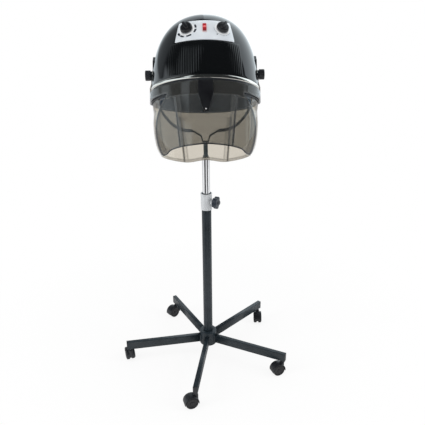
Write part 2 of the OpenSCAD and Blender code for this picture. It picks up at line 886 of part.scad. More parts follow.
// Cuts the hem: high in the middle, low at the creases and rising again to the sides
function skirt_hem() = let (
    c = crease_low_share * skirt_r,
    low = -skirt_depth - skirt_dip,
    side = -skirt_depth - skirt_dip / 3,
    right = concat(
        bezier([0, -skirt_depth], [c / 2, -skirt_depth], [c / 2, low], [c, low], 6),
        bezier([c, low], [(c + skirt_r) / 2, low], [(c + skirt_r) / 2, side], [skirt_r, side], 6)
    )
) concat(
    mirror_x(right), right,
    [[2 * shell_r, side], [2 * shell_r, -2 * skirt_depth], [-2 * shell_r, -2 * skirt_depth],
     [-2 * shell_r, side]]
);

// Pivot cheeks: flat pads let into windows in the dome's sides, in line with the tilt axis
cheek_half = 24;
cheek_low = 17;
cheek_high = 100;
cheek_round = 8;
module cheek_window() {
    rotate([90, 0, 90])
        linear_extrude(height = 4 * shell_r, center = true)
            polygon([
                [-cheek_half + cheek_round, cheek_low], [cheek_half - cheek_round, cheek_low],
                [cheek_half, cheek_low + cheek_round], [cheek_half, cheek_high - 2 * cheek_round],
                [cheek_half - 2 * cheek_round, cheek_high], [-cheek_half + 2 * cheek_round, cheek_high],
                [-cheek_half, cheek_high - 2 * cheek_round], [-cheek_half, cheek_low + cheek_round]
            ]);
}
module pivot_cheek(side) {
    color("#0b0c0d")
        in_hood()
            difference() {
                intersection() {
                    translate([side * cheek_r / 2, 0, 0])
                        cube([cheek_r, 4 * cheek_half, 2 * dome_h], center = true);
                    cheek_window();
                }
                turned(concat(
                    [[0, 0], [shell_r - dome_wall, 0]],
                    dome_curve(ring_half, dome_h - dome_wall, -dome_wall, dome_steps)
                ), 3 * big_fn);
                at_pivot(side)
                    cylinder(r = tilt_screw_d / 2 + run_gap, h = 2 * shell_r, $fn = small_fn);
            }
}

// Control panel and what sits behind it
case_wall = 1.2;
panel_corner_share = 0.14;
module control_panel() {
    color("#dfe3e6")
        in_hood()
            difference() {
                intersection() {
                    turned(concat(
                        [[shell_r / 4, panel_high], [shell_r / 4, panel_low]],
                        dome_curve(panel_low, panel_high, panel_t, 6)
                    ));
                    front_view(2 * shell_r)
                        polygon(panel_outline());
                }
                dome_core();
                panel_holes();
            }
}
function panel_outline() = let (
    h = panel_high - panel_low,
    k = panel_corner_share * h,
    right = [
        [panel_half_low, panel_low - cut],
        [panel_half_high, panel_high - 2 * k],
        [panel_half_high - k, panel_high - k / 2],
        [panel_half_high - 2 * k, panel_high + cut]
    ]
) concat(right, mirror_x(right));
timer_d = 44;
timer_h = 20;
timer_gap = 5;
spindle_d = 6;
module switch_works(turn, d) {
    in_hood()
        on_dome(control_z, turn)
            difference() {
                union() {
                    translate([0, 0, -dome_wall - timer_gap - timer_h])
                        cylinder(d = d, h = timer_h, $fn = small_fn);
                    translate([0, 0, -dome_wall - timer_gap])
                        cylinder(d = control_neck_d, h = dome_wall + timer_gap + panel_t, $fn = small_fn);
                }
                translate([0, 0, -dome_wall - timer_gap])
                    cylinder(r = spindle_d / 2 + run_gap, h = timer_h, $fn = small_fn);
            }
}
module timer() {
    color("#c8c4b8")
        switch_works(-control_turn, timer_d);
}
heat_switch_d = 34;
module heat_switch() {
    color("#c8c4b8")
        switch_works(control_turn, heat_switch_d);
}
knob_lift = 2;
grip_w = 8;
grip_h = 6;
knob_draft = 2;
module control_knob(turn, pointer) {
    in_hood()
        on_dome(control_z, turn)
            translate([0, 0, panel_t + knob_lift]) {
                translate([0, 0, -panel_t - knob_lift - dome_wall - timer_gap + pass_gap])
                    cylinder(d = spindle_d, h = panel_t + knob_lift + dome_wall + timer_gap, $fn = small_fn);
                rotate_extrude($fn = big_fn)
                    polygon([
                        [0, 0], [control_knob_d / 2, 0], [control_knob_d / 2, knob_draft],
                        [control_knob_d / 2 - knob_draft, control_knob_h - grip_h - knob_draft / 2],
                        [control_knob_d / 2 - knob_draft - knob_draft / 2, control_knob_h - grip_h],
                        [0, control_knob_h - grip_h]
                    ]);
                rotate([0, 0, pointer])
                    translate([-grip_w / 2, -control_knob_d / 2 + knob_draft, control_knob_h - grip_h - knob_draft])
                        cube([grip_w, control_knob_d - 2 * knob_draft, grip_h + knob_draft]);
            }
}
timer_pointer = 20;
heat_pointer = -30;
module timer_knob() {
    color("#0d0e10")
        control_knob(-control_turn, timer_pointer);
}
module heat_knob() {
    color("#0d0e10")
        control_knob(control_turn, heat_pointer);
}
case_depth = 18;
case_rim = 1;
rocker_pivot_depth = 5;
rocker_h = 9;
rocker_pin_d = 3;
module power_switch_case() {
    color("#b3121a")
        in_hood()
            on_dome(control_z, 0)
                difference() {
                    translate([0, 0, (panel_t + case_rim - case_depth) / 2])
                        cube([
                            rocker_w + 2 * case_wall, rocker_len + 2 * case_wall,
                            case_depth + panel_t + case_rim
                        ], center = true);
                    translate([0, 0, (panel_t + case_rim - case_depth) / 2 + case_wall])
                        cube([
                            rocker_w + 2 * pass_gap, rocker_len + 2 * pass_gap,
                            case_depth + panel_t + case_rim
                        ], center = true);
                    translate([0, 0, -rocker_pivot_depth + panel_t])
                        rotate([0, 90, 0])
                            cylinder(
                                r = rocker_pin_d / 2 + run_gap, h = rocker_w + 4 * case_wall,
                                center = true, $fn = small_fn);
                }
}
module power_rocker() {
    color("#c8202a")
        in_hood()
            on_dome(control_z, 0)
                translate([0, 0, -rocker_pivot_depth + panel_t])
                    rotate([-rocker_swing / 2, 0, 0]) {
                        rotate([90, 0, 90])
                            linear_extrude(height = rocker_w, center = true)
                                polygon([
                                    [-rocker_len / 2 + case_wall, rocker_h + case_rim],
                                    [0, rocker_h - case_rim],
                                    [rocker_len / 2 - case_wall, rocker_h + case_rim],
                                    [rocker_len / 4, -rocker_pin_d],
                                    [-rocker_len / 4, -rocker_pin_d]
                                ]);
                        rotate([0, 90, 0])
                            cylinder(d = rocker_pin_d, h = rocker_w + 2 * case_wall, center = true, $fn = small_fn);
                    }
}
module cord_gland() {
    color("#15171a")
        in_hood()
            translate([0, 0, gland_z])
                rotate([-90, 0, 0])
                    difference() {
                        union() {
                            translate([0, 0, bowl_rim_r + rim_gap])
                                cylinder(d = gland_d, h = gland_len, $fn = small_fn);
                            translate([0, 0, shell_r + rim_gap])
                                cylinder(d = gland_flange_d, h = dome_wall, $fn = small_fn);
                        }
                        translate([0, 0, bowl_r])
                            cylinder(d = gland_d / 2, h = shell_r, $fn = small_fn);
                    }
}

// Blower, hidden between the dome and the bowl
fan_gap = 8;
fan_z = bowl_crown + bowl_wall + fan_gap;
baffle_z = fan_z + fan_h + fan_gap;
baffle_t = 2;
inlet_r = 40;
shaft_d = 6;
fan_hub_d = 22;
fan_plate = 2;
blade_t = 1.6;
motor_gap = 8;
motor_z = baffle_z + baffle_t + motor_gap;
post_d = 6;
post_turn = 120;
mount_t = 2.5;
module fan() {
    color("#2a2e33")
        in_hood() {
            translate([0, 0, fan_z])
                cylinder(d = fan_d, h = fan_plate, $fn = big_fn);
            translate([0, 0, fan_z])
                cylinder(d = fan_hub_d, h = fan_h, $fn = small_fn);
            translate([0, 0, fan_z])
                cylinder(d = shaft_d, h = motor_z - fan_z + motor_gap, $fn = small_fn);
            for (i = [0:fan_blades - 1])
                rotate([0, 0, 360 / fan_blades * i])
                    translate([fan_d / 4, 0, fan_z])
                        cube([fan_d / 4 - blade_t, blade_t, fan_h]);
        }
}
module baffle_plate() {
    color("#8f949a")
        in_hood()
            translate([0, 0, baffle_z])
                pipe_fine(dome_at(baffle_z + baffle_t, -dome_wall) - rim_gap, inlet_r, baffle_t);
}
module pipe_fine(r, bore, h) {
    difference() {
        cylinder(r = r, h = h, $fn = big_fn);
        translate([0, 0, -cut])
            cylinder(r = bore, h = h + 2 * cut, $fn = big_fn);
    }
}
module motor() {
    color("#9da2a8")
        in_hood()
            difference() {
                translate([0, 0, motor_z])
                    cylinder(d = motor_d, h = motor_len, $fn = big_fn);
                translate([0, 0, motor_z - cut])
                    cylinder(r = shaft_d / 2 + run_gap, h = motor_gap + 2 * cut, $fn = small_fn);
            }
}
module motor_mount() {
    color("#8f949a")
        in_hood()
            difference() {
                union() {
                    translate([0, 0, motor_z - mount_t])
                        cylinder(d = motor_d, h = mount_t, $fn = big_fn);
                    for (i = [0:2])
                        rotate([0, 0, post_turn * i]) {
                            translate([0, -post_d, motor_z - mount_t])
                                cube([inlet_r + 2 * post_d, 2 * post_d, mount_t]);
                            translate([inlet_r + post_d, 0, baffle_z + baffle_t])
                                cylinder(d = post_d, h = motor_gap, $fn = small_fn);
                        }
                }
                translate([0, 0, motor_z - 2 * mount_t])
                    cylinder(r = fan_hub_d / 2, h = 4 * mount_t, $fn = small_fn);
            }
}
heater_r = fan_d / 2 + 14;
heater_wire_r = 5;
heater_frame_r = 7;
module heater() {
    color("#c9b27a")
        in_hood()
            translate([0, 0, fan_z + fan_h / 2]) {
                rotate_extrude($fn = big_fn)
                    translate([heater_r, 0])
                        circle(r = heater_wire_r, $fn = 16);
                for (i = [0:2])
                    rotate([0, 0, post_turn * i])
                        translate([heater_r, 0, 0])
                            cylinder(r = heater_frame_r, h = baffle_z - fan_z - fan_h / 2, $fn = small_fn);
            }
}
bowl_screw_d = 8;
bowl_screw_h = 2.5;
bowl_screw_count = 4;
bowl_screw_in = 5;
module bowl_screws() {
    color("#9da2a8")
        in_hood()
            translate([0, 0, mouth_z])
                rotate([mouth_lean, 0, 0])
                    for (i = [0:bowl_screw_count - 1])
                        rotate([0, 0, 360 / bowl_screw_count * (i + 1 / 2)])
                            translate([bowl_rim_r - bowl_screw_in, 0, -bowl_screw_h])
                                cylinder(d = bowl_screw_d, h = bowl_screw_h, $fn = small_fn);
}

// Visor: a turned shell cut to its front outline, with an ear up to each tilt screw
ear_bend_low = ring_half + 2;
ear_bend_high = 31;
visor_top = -ring_half - rim_gap - 1;
visor_shares = [[0, 1], [0.3, 1], [0.56, 0.99], [0.76, 0.962], [0.89, 0.93], [1, 0.89]];
visor_low_share = 1.2;
function visor_section(g, wall) = let (
    low = -visor_depth - visor_low_share * visor_corner_drop,
    outer = [for (q = visor_shares) [visor_r * q[1] + g, ear_bend_low + (low - ear_bend_low) * q[0]]]
) concat(
    [[ear_out + g, pivot_rise + ear_eye_d], [ear_out + g, ear_bend_high]],
    outer,
    flip([for (q = outer) [q[0] - wall, q[1]]]),
    [[ear_out + g - wall, ear_bend_high], [ear_out + g - wall, pivot_rise + ear_eye_d]]
);
// Right half of the visor's front outline, from the arm's lower edge round to the middle:
// shares of the half width, of the depth and of the corner's drop
visor_edge_shares = [
    [0.752, 0.21, 0], [0.89, 0.349, 0], [1, 0.512, 0], [1, 0.7, 0], [1, 0.87, 0], [0.942, 0.99, 0],
    [0.915, 1, 0.38], [0.887, 1, 0.9], [0.839, 1, 1.1], [0.781, 1, 0.93], [0.752, 1, 0.83],
    [0.73, 1, 0.69], [0.7, 1, 0.55], [0.62, 1, 0.31], [0.44, 1, 0.17], [0, 1, 0]
];
arm_low_share = 0.8;
function edge(i) = let (q = visor_edge_shares[i]) [
    i == 0 ? visor_half_top : visor_half_max * q[0],
    -visor_depth * q[1] - visor_corner_drop * q[2]
];
function visor_outline() = let (
    right = concat(
        [[2 * visor_r, visor_top], [2 * visor_r, -arm_low_share * band_depth]],
        bezier(edge(0), edge(1), edge(2), edge(3), 8),
        bezier(edge(3), edge(4), edge(5), edge(6), 5),
        bezier(edge(6), edge(7), edge(8), edge(9), 6),
        [edge(10), edge(11)],
        bezier(edge(12), edge(13), edge(14), edge(15), 6)
    )
) concat(right, mirror_x([for (i = [0:len(right) - 2]) right[i]]));
ear_w = 18;
ear_low_w = 24;
function ear_line() = [[0, pivot_rise], [0, -arm_low_share * band_depth]];
module visor() {
    color("#7d756c")
        in_hood()
            difference() {
                union() {
                    intersection() {
                        turned(visor_section(0, clear_wall));
                        union() {
                            front_view(2 * visor_r)
                                polygon(visor_outline());
                            rotate([90, 0, 90])
                                linear_extrude(height = 4 * visor_r, center = true)
                                    polygon(strip(ear_line(), ear_w, ear_low_w));
                        }
                    }
                    intersection() {
                        turned(visor_section(crease_h, clear_wall));
                        front_view(2 * visor_r)
                            for (s = [-1, 1])
                                polygon(crease_outline(
                                    s, visor_r, visor_top, -visor_depth - visor_corner_drop / 4));
                    }
                    for (s = [-1, 1])
                        at_pivot(s)
                            translate([0, 0, ear_in])
                                cylinder(d = ear_eye_d, h = clear_wall, $fn = small_fn);
                }
                for (s = [-1, 1])
                    at_pivot(s)
                        cylinder(r = tilt_screw_d / 2 + run_gap, h = 2 * visor_r, $fn = small_fn);
            }
}
handle_top = visor_top - rim_gap;
handle_side_share = 0.42;
module visor_handle() {
    color("#101214")
        in_hood()
            intersection() {
                turned([
                    [visor_r, handle_top], [visor_r + handle_t / 2, handle_top],
                    [visor_r + handle_t, handle_top - handle_t],
                    [visor_r + handle_t, handle_top - handle_len / 2],
                    [visor_r + 3 * handle_t / 2, handle_top - handle_len],
                    [visor_r, handle_top - handle_len]
                ]);
                front_view(2 * visor_r)
                    polygon(handle_outline());
            }
}
function handle_outline() = let (
    k = handle_t,
    right = concat(
        [[handle_w / 2 - k, handle_top + cut], [handle_w / 2, handle_top - k],
         [handle_w / 2, handle_top - handle_side_share * handle_len],
         [handle_tip_w / 2, handle_top - handle_len + handle_tip_w / 2]],
        bezier([handle_tip_w / 2, handle_top - handle_len + handle_tip_w / 2],
               [handle_tip_w / 3, handle_top - handle_len],
               [handle_tip_w / 4, handle_top - handle_len],
               [0, handle_top - handle_len], 5)
    )
) concat(flip(right), mirror_x(flip(right)));
handle_screw_d = 6;
handle_screw_h = 1.6;
// Room between the flat head and the curved wall at the head's edge
handle_screw_gap = 0.08;
// The heads sit inside the visor, below the ribbed band
module handle_screws() {
    color("#c9ccd0")
        in_hood()
            for (s = [-1, 1])
                rotate([0, 0, s * asin(handle_w / 4 / visor_in_r)])
                    translate([
                        0,
                        handle_screw_h + handle_screw_gap - sqrt(pow(visor_in_r, 2) - pow(handle_screw_d / 2, 2)),
                        -band_depth - handle_screw_d
                    ])
                        rotate([90, 0, 0])
                            cylinder(d = handle_screw_d, h = handle_screw_h, $fn = small_fn);
}

// Tilt locks
tilt_knob_flutes = 12;
tilt_flute_r = 2;
tilt_screw_in = 24;
module tilt_knob(side) {
    color("#0f1113")
        in_hood()
            at_pivot(side) {
                translate([0, 0, cheek_r - tilt_screw_in])
                    cylinder(d = tilt_screw_d, h = knob_in - cheek_r + tilt_screw_in + cut, $fn = small_fn);
                difference() {
                    translate([0, 0, knob_in])
                        rotate_extrude($fn = small_fn)
                            polygon([
                                [0, 0], [tilt_knob_d / 2 - cut, 0], [tilt_knob_d / 2, cut],
                                [tilt_knob_d / 2, tilt_knob_h - 2 * cut],
                                [tilt_knob_d / 2 - 2 * cut, tilt_knob_h], [0, tilt_knob_h]
                            ]);
                    for (i = [0:tilt_knob_flutes - 1])
                        rotate([0, 0, 360 / tilt_knob_flutes * i])
                            translate([tilt_knob_d / 2 + tilt_flute_r / 2, 0, knob_in - cut])
                                cylinder(r = tilt_flute_r, h = tilt_knob_h + 2 * cut, $fn = 20);
                }
            }
}

hub();
leg(0);  // leg_1
leg(1);  // leg_2
leg(2);  // leg_3
leg(3);  // leg_4
leg(4);  // leg_5
leg_end_plugs();
caster_sockets();
outer_tube();
column_bolt();
tube_collar();
collar_bush();
clamp_knob();
inner_tube();
tube_foot_guide();
stem_bush();
yoke_stem();
yoke();
caster_body(0);  // caster_body_1
caster_body(1);  // caster_body_2
caster_body(2);  // caster_body_3
caster_body(3);  // caster_body_4
caster_body(4);  // caster_body_5
caster_wheels(0);  // caster_wheels_1
caster_wheels(1);  // caster_wheels_2
caster_wheels(2);  // caster_wheels_3
caster_wheels(3);  // caster_wheels_4
caster_wheels(4);  // caster_wheels_5
dome();
front_ribs();
trim_ring();
ribbed_band();
air_bowl();
rear_skirt();
pivot_cheek(-1);  // pivot_cheek_left
pivot_cheek(1);  // pivot_cheek_right
control_panel();
timer();
heat_switch();
power_switch_case();
cord_gland();
baffle_plate();
motor();
motor_mount();
heater();
bowl_screws();
fan();
visor();
visor_handle();
handle_screws();
timer_knob();
heat_knob();
power_rocker();
tilt_knob(-1);  // tilt_knob_left
tilt_knob(1);  // tilt_knob_right
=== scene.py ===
import math

import bmesh
import bpy
from mathutils import Matrix, Vector
from mathutils.kdtree import KDTree


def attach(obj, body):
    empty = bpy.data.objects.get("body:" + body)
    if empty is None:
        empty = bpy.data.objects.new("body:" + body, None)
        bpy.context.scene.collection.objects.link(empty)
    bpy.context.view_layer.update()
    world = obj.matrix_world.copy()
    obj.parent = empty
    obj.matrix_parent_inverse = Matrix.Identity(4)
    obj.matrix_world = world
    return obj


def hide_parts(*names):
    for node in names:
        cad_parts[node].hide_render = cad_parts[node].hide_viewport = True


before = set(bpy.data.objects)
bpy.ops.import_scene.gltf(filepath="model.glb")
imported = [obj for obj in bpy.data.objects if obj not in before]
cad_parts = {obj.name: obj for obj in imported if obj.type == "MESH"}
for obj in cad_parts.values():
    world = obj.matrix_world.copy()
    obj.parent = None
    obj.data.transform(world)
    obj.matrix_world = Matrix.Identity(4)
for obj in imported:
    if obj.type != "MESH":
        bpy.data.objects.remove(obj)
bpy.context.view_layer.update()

# Sizes are in millimetres, as on the drawing, and go to metres when a piece is placed.
MM = 0.001
MERGE = 0.002  # points nearer than this become one
STAND = Matrix.Scale(MM, 4)
# The hood's own frame starts at the trim ring and leans back about the tilt axis above it.
TILT = math.radians(24)
PIVOT_RISE = 49.0
PIVOT = Vector((0, -92.4299, 1020.6801))
HOOD = (STAND @ Matrix.Translation(PIVOT) @ Matrix.Rotation(-TILT, 4, "X")
        @ Matrix.Translation((0, 0, -PIVOT_RISE)))
UPRIGHT = Matrix.Rotation(math.pi / 2, 4, "X")  # stands a flat outline up


# ---------------------------------------------------------------- finishes

class Amount:
    """A number that changes over a surface or with a direction. Sums of amounts make Math nodes."""

    def __init__(self, wiring, socket):
        self.wiring, self.socket = wiring, socket

    def _sum(self, operation, first, second=0.0):
        return self.wiring.node("ShaderNodeMath", {"operation": operation}, {0: first, 1: second})

    def __add__(self, other): return self._sum("ADD", self, other)
    def __radd__(self, other): return self._sum("ADD", other, self)
    def __sub__(self, other): return self._sum("SUBTRACT", self, other)
    def __rsub__(self, other): return self._sum("SUBTRACT", other, self)
    def __mul__(self, other): return self._sum("MULTIPLY", self, other)
    def __rmul__(self, other): return self._sum("MULTIPLY", other, self)
    def power(self, other): return self._sum("POWER", self, other)
    def most(self, other): return self._sum("MAXIMUM", self, other)
    def angle_over(self, other): return self._sum("ARCTAN2", self, other) * (180 / math.pi)
    def angle(self): return self._sum("ARCSINE", self) * (180 / math.pi)

    def step(self, low, high):
        """0 at low and 1 at high, with a smooth way between."""
        return self.wiring.node("ShaderNodeMapRange", {"interpolation_type": "SMOOTHSTEP"},
                                {"Value": self, "From Min": low, "From Max": high})

    def between(self, low, high, soft):
        """1 from low to high, 0 outside, with soft ends."""
        return self.step(low - soft, low + soft) * (1 - self.step(high - soft, high + soft))


class Wiring:
    """Puts nodes into one node tree; what is fed in may be a plain value or an amount."""

    def __init__(self, tree):
        self.tree = tree

    def feed(self, socket, value):
        if isinstance(value, Amount):
            self.tree.links.new(value.socket, socket)
        elif hasattr(socket.default_value, "__len__") and len(socket.default_value) == 4:
            socket.default_value = (*value, 1.0)
        else:
            socket.default_value = value

    def node(self, kind, settings=None, values=None, output=0):
        made = self.tree.nodes.new(kind)
        for key, value in (settings or {}).items():
            setattr(made, key, value)
        for key, value in (values or {}).items():
            self.feed(made.inputs[key], value)
        return Amount(self, made.outputs[output])

    def colour(self, share, first, second):
        return self.node("ShaderNodeMix", {"data_type": "RGBA", "blend_type": "MIX"},
                         {0: share, 6: first, 7: second}, output=2)

    def mixed(self, share, first, second):
        made = self.tree.nodes.new("ShaderNodeMixShader")
        self.feed(made.inputs[0], share)
        self.tree.links.new(first.outputs[0], made.inputs[1])
        self.tree.links.new(second.outputs[0], made.inputs[2])
        return made


class Finish(Wiring):
    """One finish of the dryer: a principled shader with set values and patterns."""

    def __init__(self, name, **values):
        self.material = bpy.data.materials.new(name)
        self.material.use_nodes = True
        super().__init__(self.material.node_tree)
        self.shader = self.tree.nodes["Principled BSDF"]
        self.set(**values)

    def set(self, **values):
        for key, value in values.items():
            self.feed(self.shader.inputs[key.replace("_", " ")], value)

    def end_with(self, shader):
        end = self.tree.nodes["Material Output"].inputs["Surface"]
        self.tree.links.new(shader.outputs[0], end)

    def place(self, scale=(1, 1, 1)):
        spot = self.node("ShaderNodeTexCoord", output="Object")
        return self.node("ShaderNodeMapping", {"vector_type": "POINT"},
                         {"Vector": spot, "Scale": scale})

    def grain(self, size, detail=3.0, rough=0.5, stretch=(1, 1, 1)):
        """Cloudy unevenness; size is that of one patch, in millimetres."""
        return self.node("ShaderNodeTexNoise", {"noise_dimensions": "3D"},
                         {"Vector": self.place(stretch), "Scale": 1.0 / (size * MM),
                          "Detail": detail, "Roughness": rough})

    def relief(self, height, depth, strength):
        """Surface relief; depth in millimetres is what a height of 1 stands for."""
        self.set(Normal=self.node("ShaderNodeBump", None, {"Height": height, "Distance": depth * MM,
                                                           "Strength": strength}))


def powder_coat(name, dark, light, rough):
    """Baked powder: fine orange peel, worn a little paler in patches."""
    f = Finish(name, Specular_IOR_Level=0.45)
    cloud = f.grain(size=45, detail=4, rough=0.6)
    peel = f.grain(size=1.6, detail=2)
    f.set(Base_Color=f.colour(cloud.step(0.35, 0.7), dark, light),
          Roughness=rough - 0.06 + 0.12 * cloud + 0.05 * peel)
    f.relief(peel, depth=0.05, strength=0.5)
    return f


def moulded(name, dark, light, rough, grit=0.9, depth=0.04, **values):
    """Moulded plastic with a spark-eroded grain."""
    f = Finish(name, **values)
    cloud = f.grain(size=30)
    skin = f.grain(grit, detail=2, rough=0.6)
    f.set(Base_Color=f.colour(cloud.step(0.3, 0.75), dark, light),
          Roughness=rough - 0.05 + 0.1 * cloud + 0.06 * skin)
    f.relief(skin, depth, strength=0.5)
    return f


def high_gloss(name, colour, haze):
    """Polished shell plastic: deep gloss with faint swirls and flow waves."""
    f = Finish(name, Specular_IOR_Level=0.4, Coat_Weight=0.4, Coat_Roughness=0.03)
    wave = f.grain(size=90, detail=1, rough=0.3)
    swirl = f.grain(size=5, detail=4, rough=0.7, stretch=(1, 1, 0.25))
    f.set(Base_Color=f.colour(wave, colour, [1.4 * c for c in colour]),
          Roughness=haze + 0.05 * swirl.step(0.45, 0.8) + 0.02 * wave)
    f.relief(wave, depth=0.12, strength=0.25)
    return f


def plated(name, colour, haze):
    """Bright plating with fine polishing lines round the piece."""
    f = Finish(name, Metallic=1.0)
    lines = f.grain(size=14, rough=0.6, stretch=(1, 1, 9))
    cloud = f.grain(size=25, detail=2)
    f.set(Base_Color=f.colour(cloud, colour, [0.93 * c for c in colour]),
          Roughness=haze + 0.07 * lines.step(0.4, 0.8) + 0.03 * cloud)
    return f


def see_through(name, tint, film, dark, share):
    """Clear plastic sheet. Each face lets light through in its tint, under a thin film of its own
    colour, and folds and rims, where the shade attribute is high, are darker: painted shade, which
    turns the film to the dark colour and lays more of it."""
    gloss = 0.04
    f = Finish(name, Specular_IOR_Level=0.3)
    smear = f.grain(size=35, rough=0.6)
    scuff = f.grain(size=3, detail=4, rough=0.7, stretch=(1, 1, 0.3))
    # painted shade at folds and rims comes in from the mesh's shade attribute
    shade = f.node("ShaderNodeAttribute", {"attribute_name": "shade"}, output="Fac")
    f.set(Base_Color=f.colour(shade, film, dark),
          Roughness=gloss + 0.05 * scuff.step(0.55, 0.85) + 0.03 * smear)
    clear = f.tree.nodes.new("ShaderNodeBsdfTransparent")
    clear.inputs["Color"].default_value = (*tint, 1.0)
    shine = f.tree.nodes.new("ShaderNodeBsdfGlossy")
    shine.inputs["Color"].default_value = (0.95, 0.97, 1.0, 1.0)
    shine.inputs["Roughness"].default_value = gloss
    glance = f.node("ShaderNodeLayerWeight", None, {"Blend": 0.5}, output="Facing")
    body = f.mixed(share + 0.06 * smear * glance + 0.85 * shade, clear, f.shader)
    f.end_with(f.mixed(0.04 + 0.8 * glance.power(5), body, shine))
    return f


FRAME_PAINT = powder_coat("frame_paint", (0.014, 0.021, 0.027), (0.023, 0.033, 0.041), 0.4)
STEM_PAINT = powder_coat("stem_enamel", (0.045, 0.07, 0.09), (0.06, 0.088, 0.11), 0.28)
STAR_SLATE = moulded("star_slate", (0.026, 0.034, 0.047), (0.036, 0.045, 0.06), 0.4)
KNOB_BLACK = moulded("knob_black", (0.012, 0.013, 0.016), (0.022, 0.025, 0.03), 0.42)
GRIP_BLACK = moulded("grip_black", (0.006, 0.006, 0.008), (0.012, 0.013, 0.015), 0.3)
CASTER_NYLON = moulded("caster_nylon", (0.011, 0.012, 0.015), (0.02, 0.022, 0.027), 0.4)
TREAD = moulded("caster_tread", (0.013, 0.013, 0.015), (0.024, 0.024, 0.027), 0.6,
                grit=1.4, depth=0.08)
COLLAR_SILVER = moulded("collar_silver", (0.62, 0.64, 0.66), (0.7, 0.72, 0.74), 0.38, Metallic=0.1)
PALE_NYLON = moulded("pale_nylon", (0.78, 0.8, 0.8), (0.86, 0.87, 0.86), 0.45)
TUBE_CHROME = plated("tube_chrome", (0.82, 0.83, 0.85), 0.05)
RING_CHROME = plated("ring_chrome", (0.9, 0.88, 0.83), 0.1)
ZINC = plated("zinc_steel", (0.55, 0.56, 0.58), 0.3)
DOME_GLOSS = high_gloss("dome_gloss", (0.0035, 0.004, 0.005), 0.05)
RIB_GLOSS = high_gloss("rib_gloss", (0.003, 0.0035, 0.004), 0.07)
BAND_BLACK = moulded("band_black", (0.012, 0.014, 0.017), (0.02, 0.023, 0.027), 0.3)
BOWL_BLUE = moulded("bowl_blue", (0.075, 0.105, 0.15), (0.1, 0.135, 0.185), 0.45)
VISOR_TINT = see_through("visor_tint", (0.605, 0.597, 0.572), (0.21, 0.215, 0.21),
                         (0.012, 0.013, 0.014), 0.1)
SKIRT_CLEAR = see_through("skirt_clear", (0.845, 0.815, 0.76), (0.5, 0.48, 0.44),
                          (0.06, 0.05, 0.04), 0.03)
PANEL_SILVER = moulded("panel_silver", (0.62, 0.66, 0.7), (0.7, 0.74, 0.77), 0.32,
                       grit=1.2, depth=0.02, Metallic=0.15)
DIAL_WHITE = moulded("dial_white", (0.8, 0.82, 0.83), (0.86, 0.87, 0.88), 0.4)
DIAL_BLACK = moulded("dial_black", (0.01, 0.014, 0.024), (0.016, 0.02, 0.032), 0.5)
DIAL_GREY = moulded("dial_grey", (0.25, 0.27, 0.3), (0.33, 0.35, 0.38), 0.5)
ROCKER_RED = moulded("rocker_red", (0.33, 0.006, 0.012), (0.42, 0.012, 0.02), 0.3, Coat_Weight=0.3)
# paler red of a painted highlight along the rocker key's middle bend
KEY_HIGHLIGHT_RED = moulded("rocker_key_highlight", (0.85, 0.2, 0.2), (0.9, 0.28, 0.27), 0.25, Coat_Weight=0.3)
FRAME_PINK = moulded("switch_frame", (0.78, 0.5, 0.5), (0.84, 0.58, 0.57), 0.35)
HEATER_WIRE = plated("heater_wire", (0.5, 0.42, 0.3), 0.4)


# ---------------------------------------------------------------- making pieces

def piece(bm, name, finish, body, stands_for=(), slot=None, place=STAND, sharp=32, thick=None,
          shade=None):
    """Puts a finished bmesh in its place as an object that rides on a body. A sheet gets its
    thickness inwards, so its faces must point away from the upright axis."""
    bmesh.ops.remove_doubles(bm, verts=bm.verts, dist=MERGE)
    bmesh.ops.recalc_face_normals(bm, faces=bm.faces)
    if thick and sum(f.normal.xy.dot(f.calc_center_median().xy) for f in bm.faces) < 0:
        bmesh.ops.reverse_faces(bm, faces=bm.faces)
    shades = [shade(v) for v in bm.verts] if shade else []
    bmesh.ops.transform(bm, matrix=place, verts=bm.verts)
    mesh = bpy.data.meshes.new(name)
    bm.to_mesh(mesh)
    bm.free()
    mesh.shade_smooth()
    mesh.set_sharp_from_angle(angle=math.radians(sharp))
    mesh.materials.append(finish.material)
    made = bpy.data.objects.new(name, mesh)
    bpy.context.collection.objects.link(made)
    if shade:
        mesh.attributes.new("shade", "FLOAT", "POINT").data.foreach_set("value", shades)
    if thick:
        wall = made.modifiers.new("wall", "SOLIDIFY")
        wall.thickness, wall.offset = thick * MM, -1.0
        rim = made.modifiers.new("rim", "BEVEL")
        rim.width, rim.segments = thick * MM / 3.5, 2
        rim.limit_method, rim.angle_limit = "ANGLE", math.radians(50)
    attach(made, body)
    if stands_for:
        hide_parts(*stands_for)
    return made


def soften(bm, width, angle=30, segments=2, choose=None):
    """Rounds the sharp edges."""
    edges = [e for e in bm.edges if len(e.link_faces) == 2
             and e.calc_face_angle(0) > math.radians(angle) and (choose is None or choose(e))]
    if edges:
        bmesh.ops.bevel(bm, geom=edges, offset=width, offset_type="OFFSET", segments=segments,
                        profile=0.5, affect="EDGES", clamp_overlap=True, material=-1)


def sleeve(hole, outer, low, high):
    """Outline of a tube, or of a rod where the hole is 0."""
    return [(hole, low), (outer, low), (outer, high), (hole, high)]


def spun(outline, steps, closed=True, sweep=360, start=0):
    """Spins an outline of (radius, height) about the upright axis."""
    bm = bmesh.new()
    first = math.radians(start)
    verts = [bm.verts.new((r * math.sin(first), -r * math.cos(first), z)) for r, z in outline]
    pairs = list(zip(verts, verts[1:])) + ([(verts[-1], verts[0])] if closed else [])
    edges = [bm.edges.new(p) for p in pairs]
    bmesh.ops.spin(bm, geom=verts + edges, cent=(0, 0, 0), axis=(0, 0, 1),
                   angle=math.radians(sweep), steps=steps, use_merge=sweep == 360,
                   use_duplicate=False)
    bmesh.ops.remove_doubles(bm, verts=bm.verts, dist=MERGE)
    bmesh.ops.recalc_face_normals(bm, faces=bm.faces)
    return bm


def turned(outline, steps=96, round_off=0.0, angle=30, segments=2):
    """A turned piece with its sharp edges rounded."""
    bm = spun(outline, steps)
    if round_off:
        soften(bm, round_off, angle, segments)
    return bm


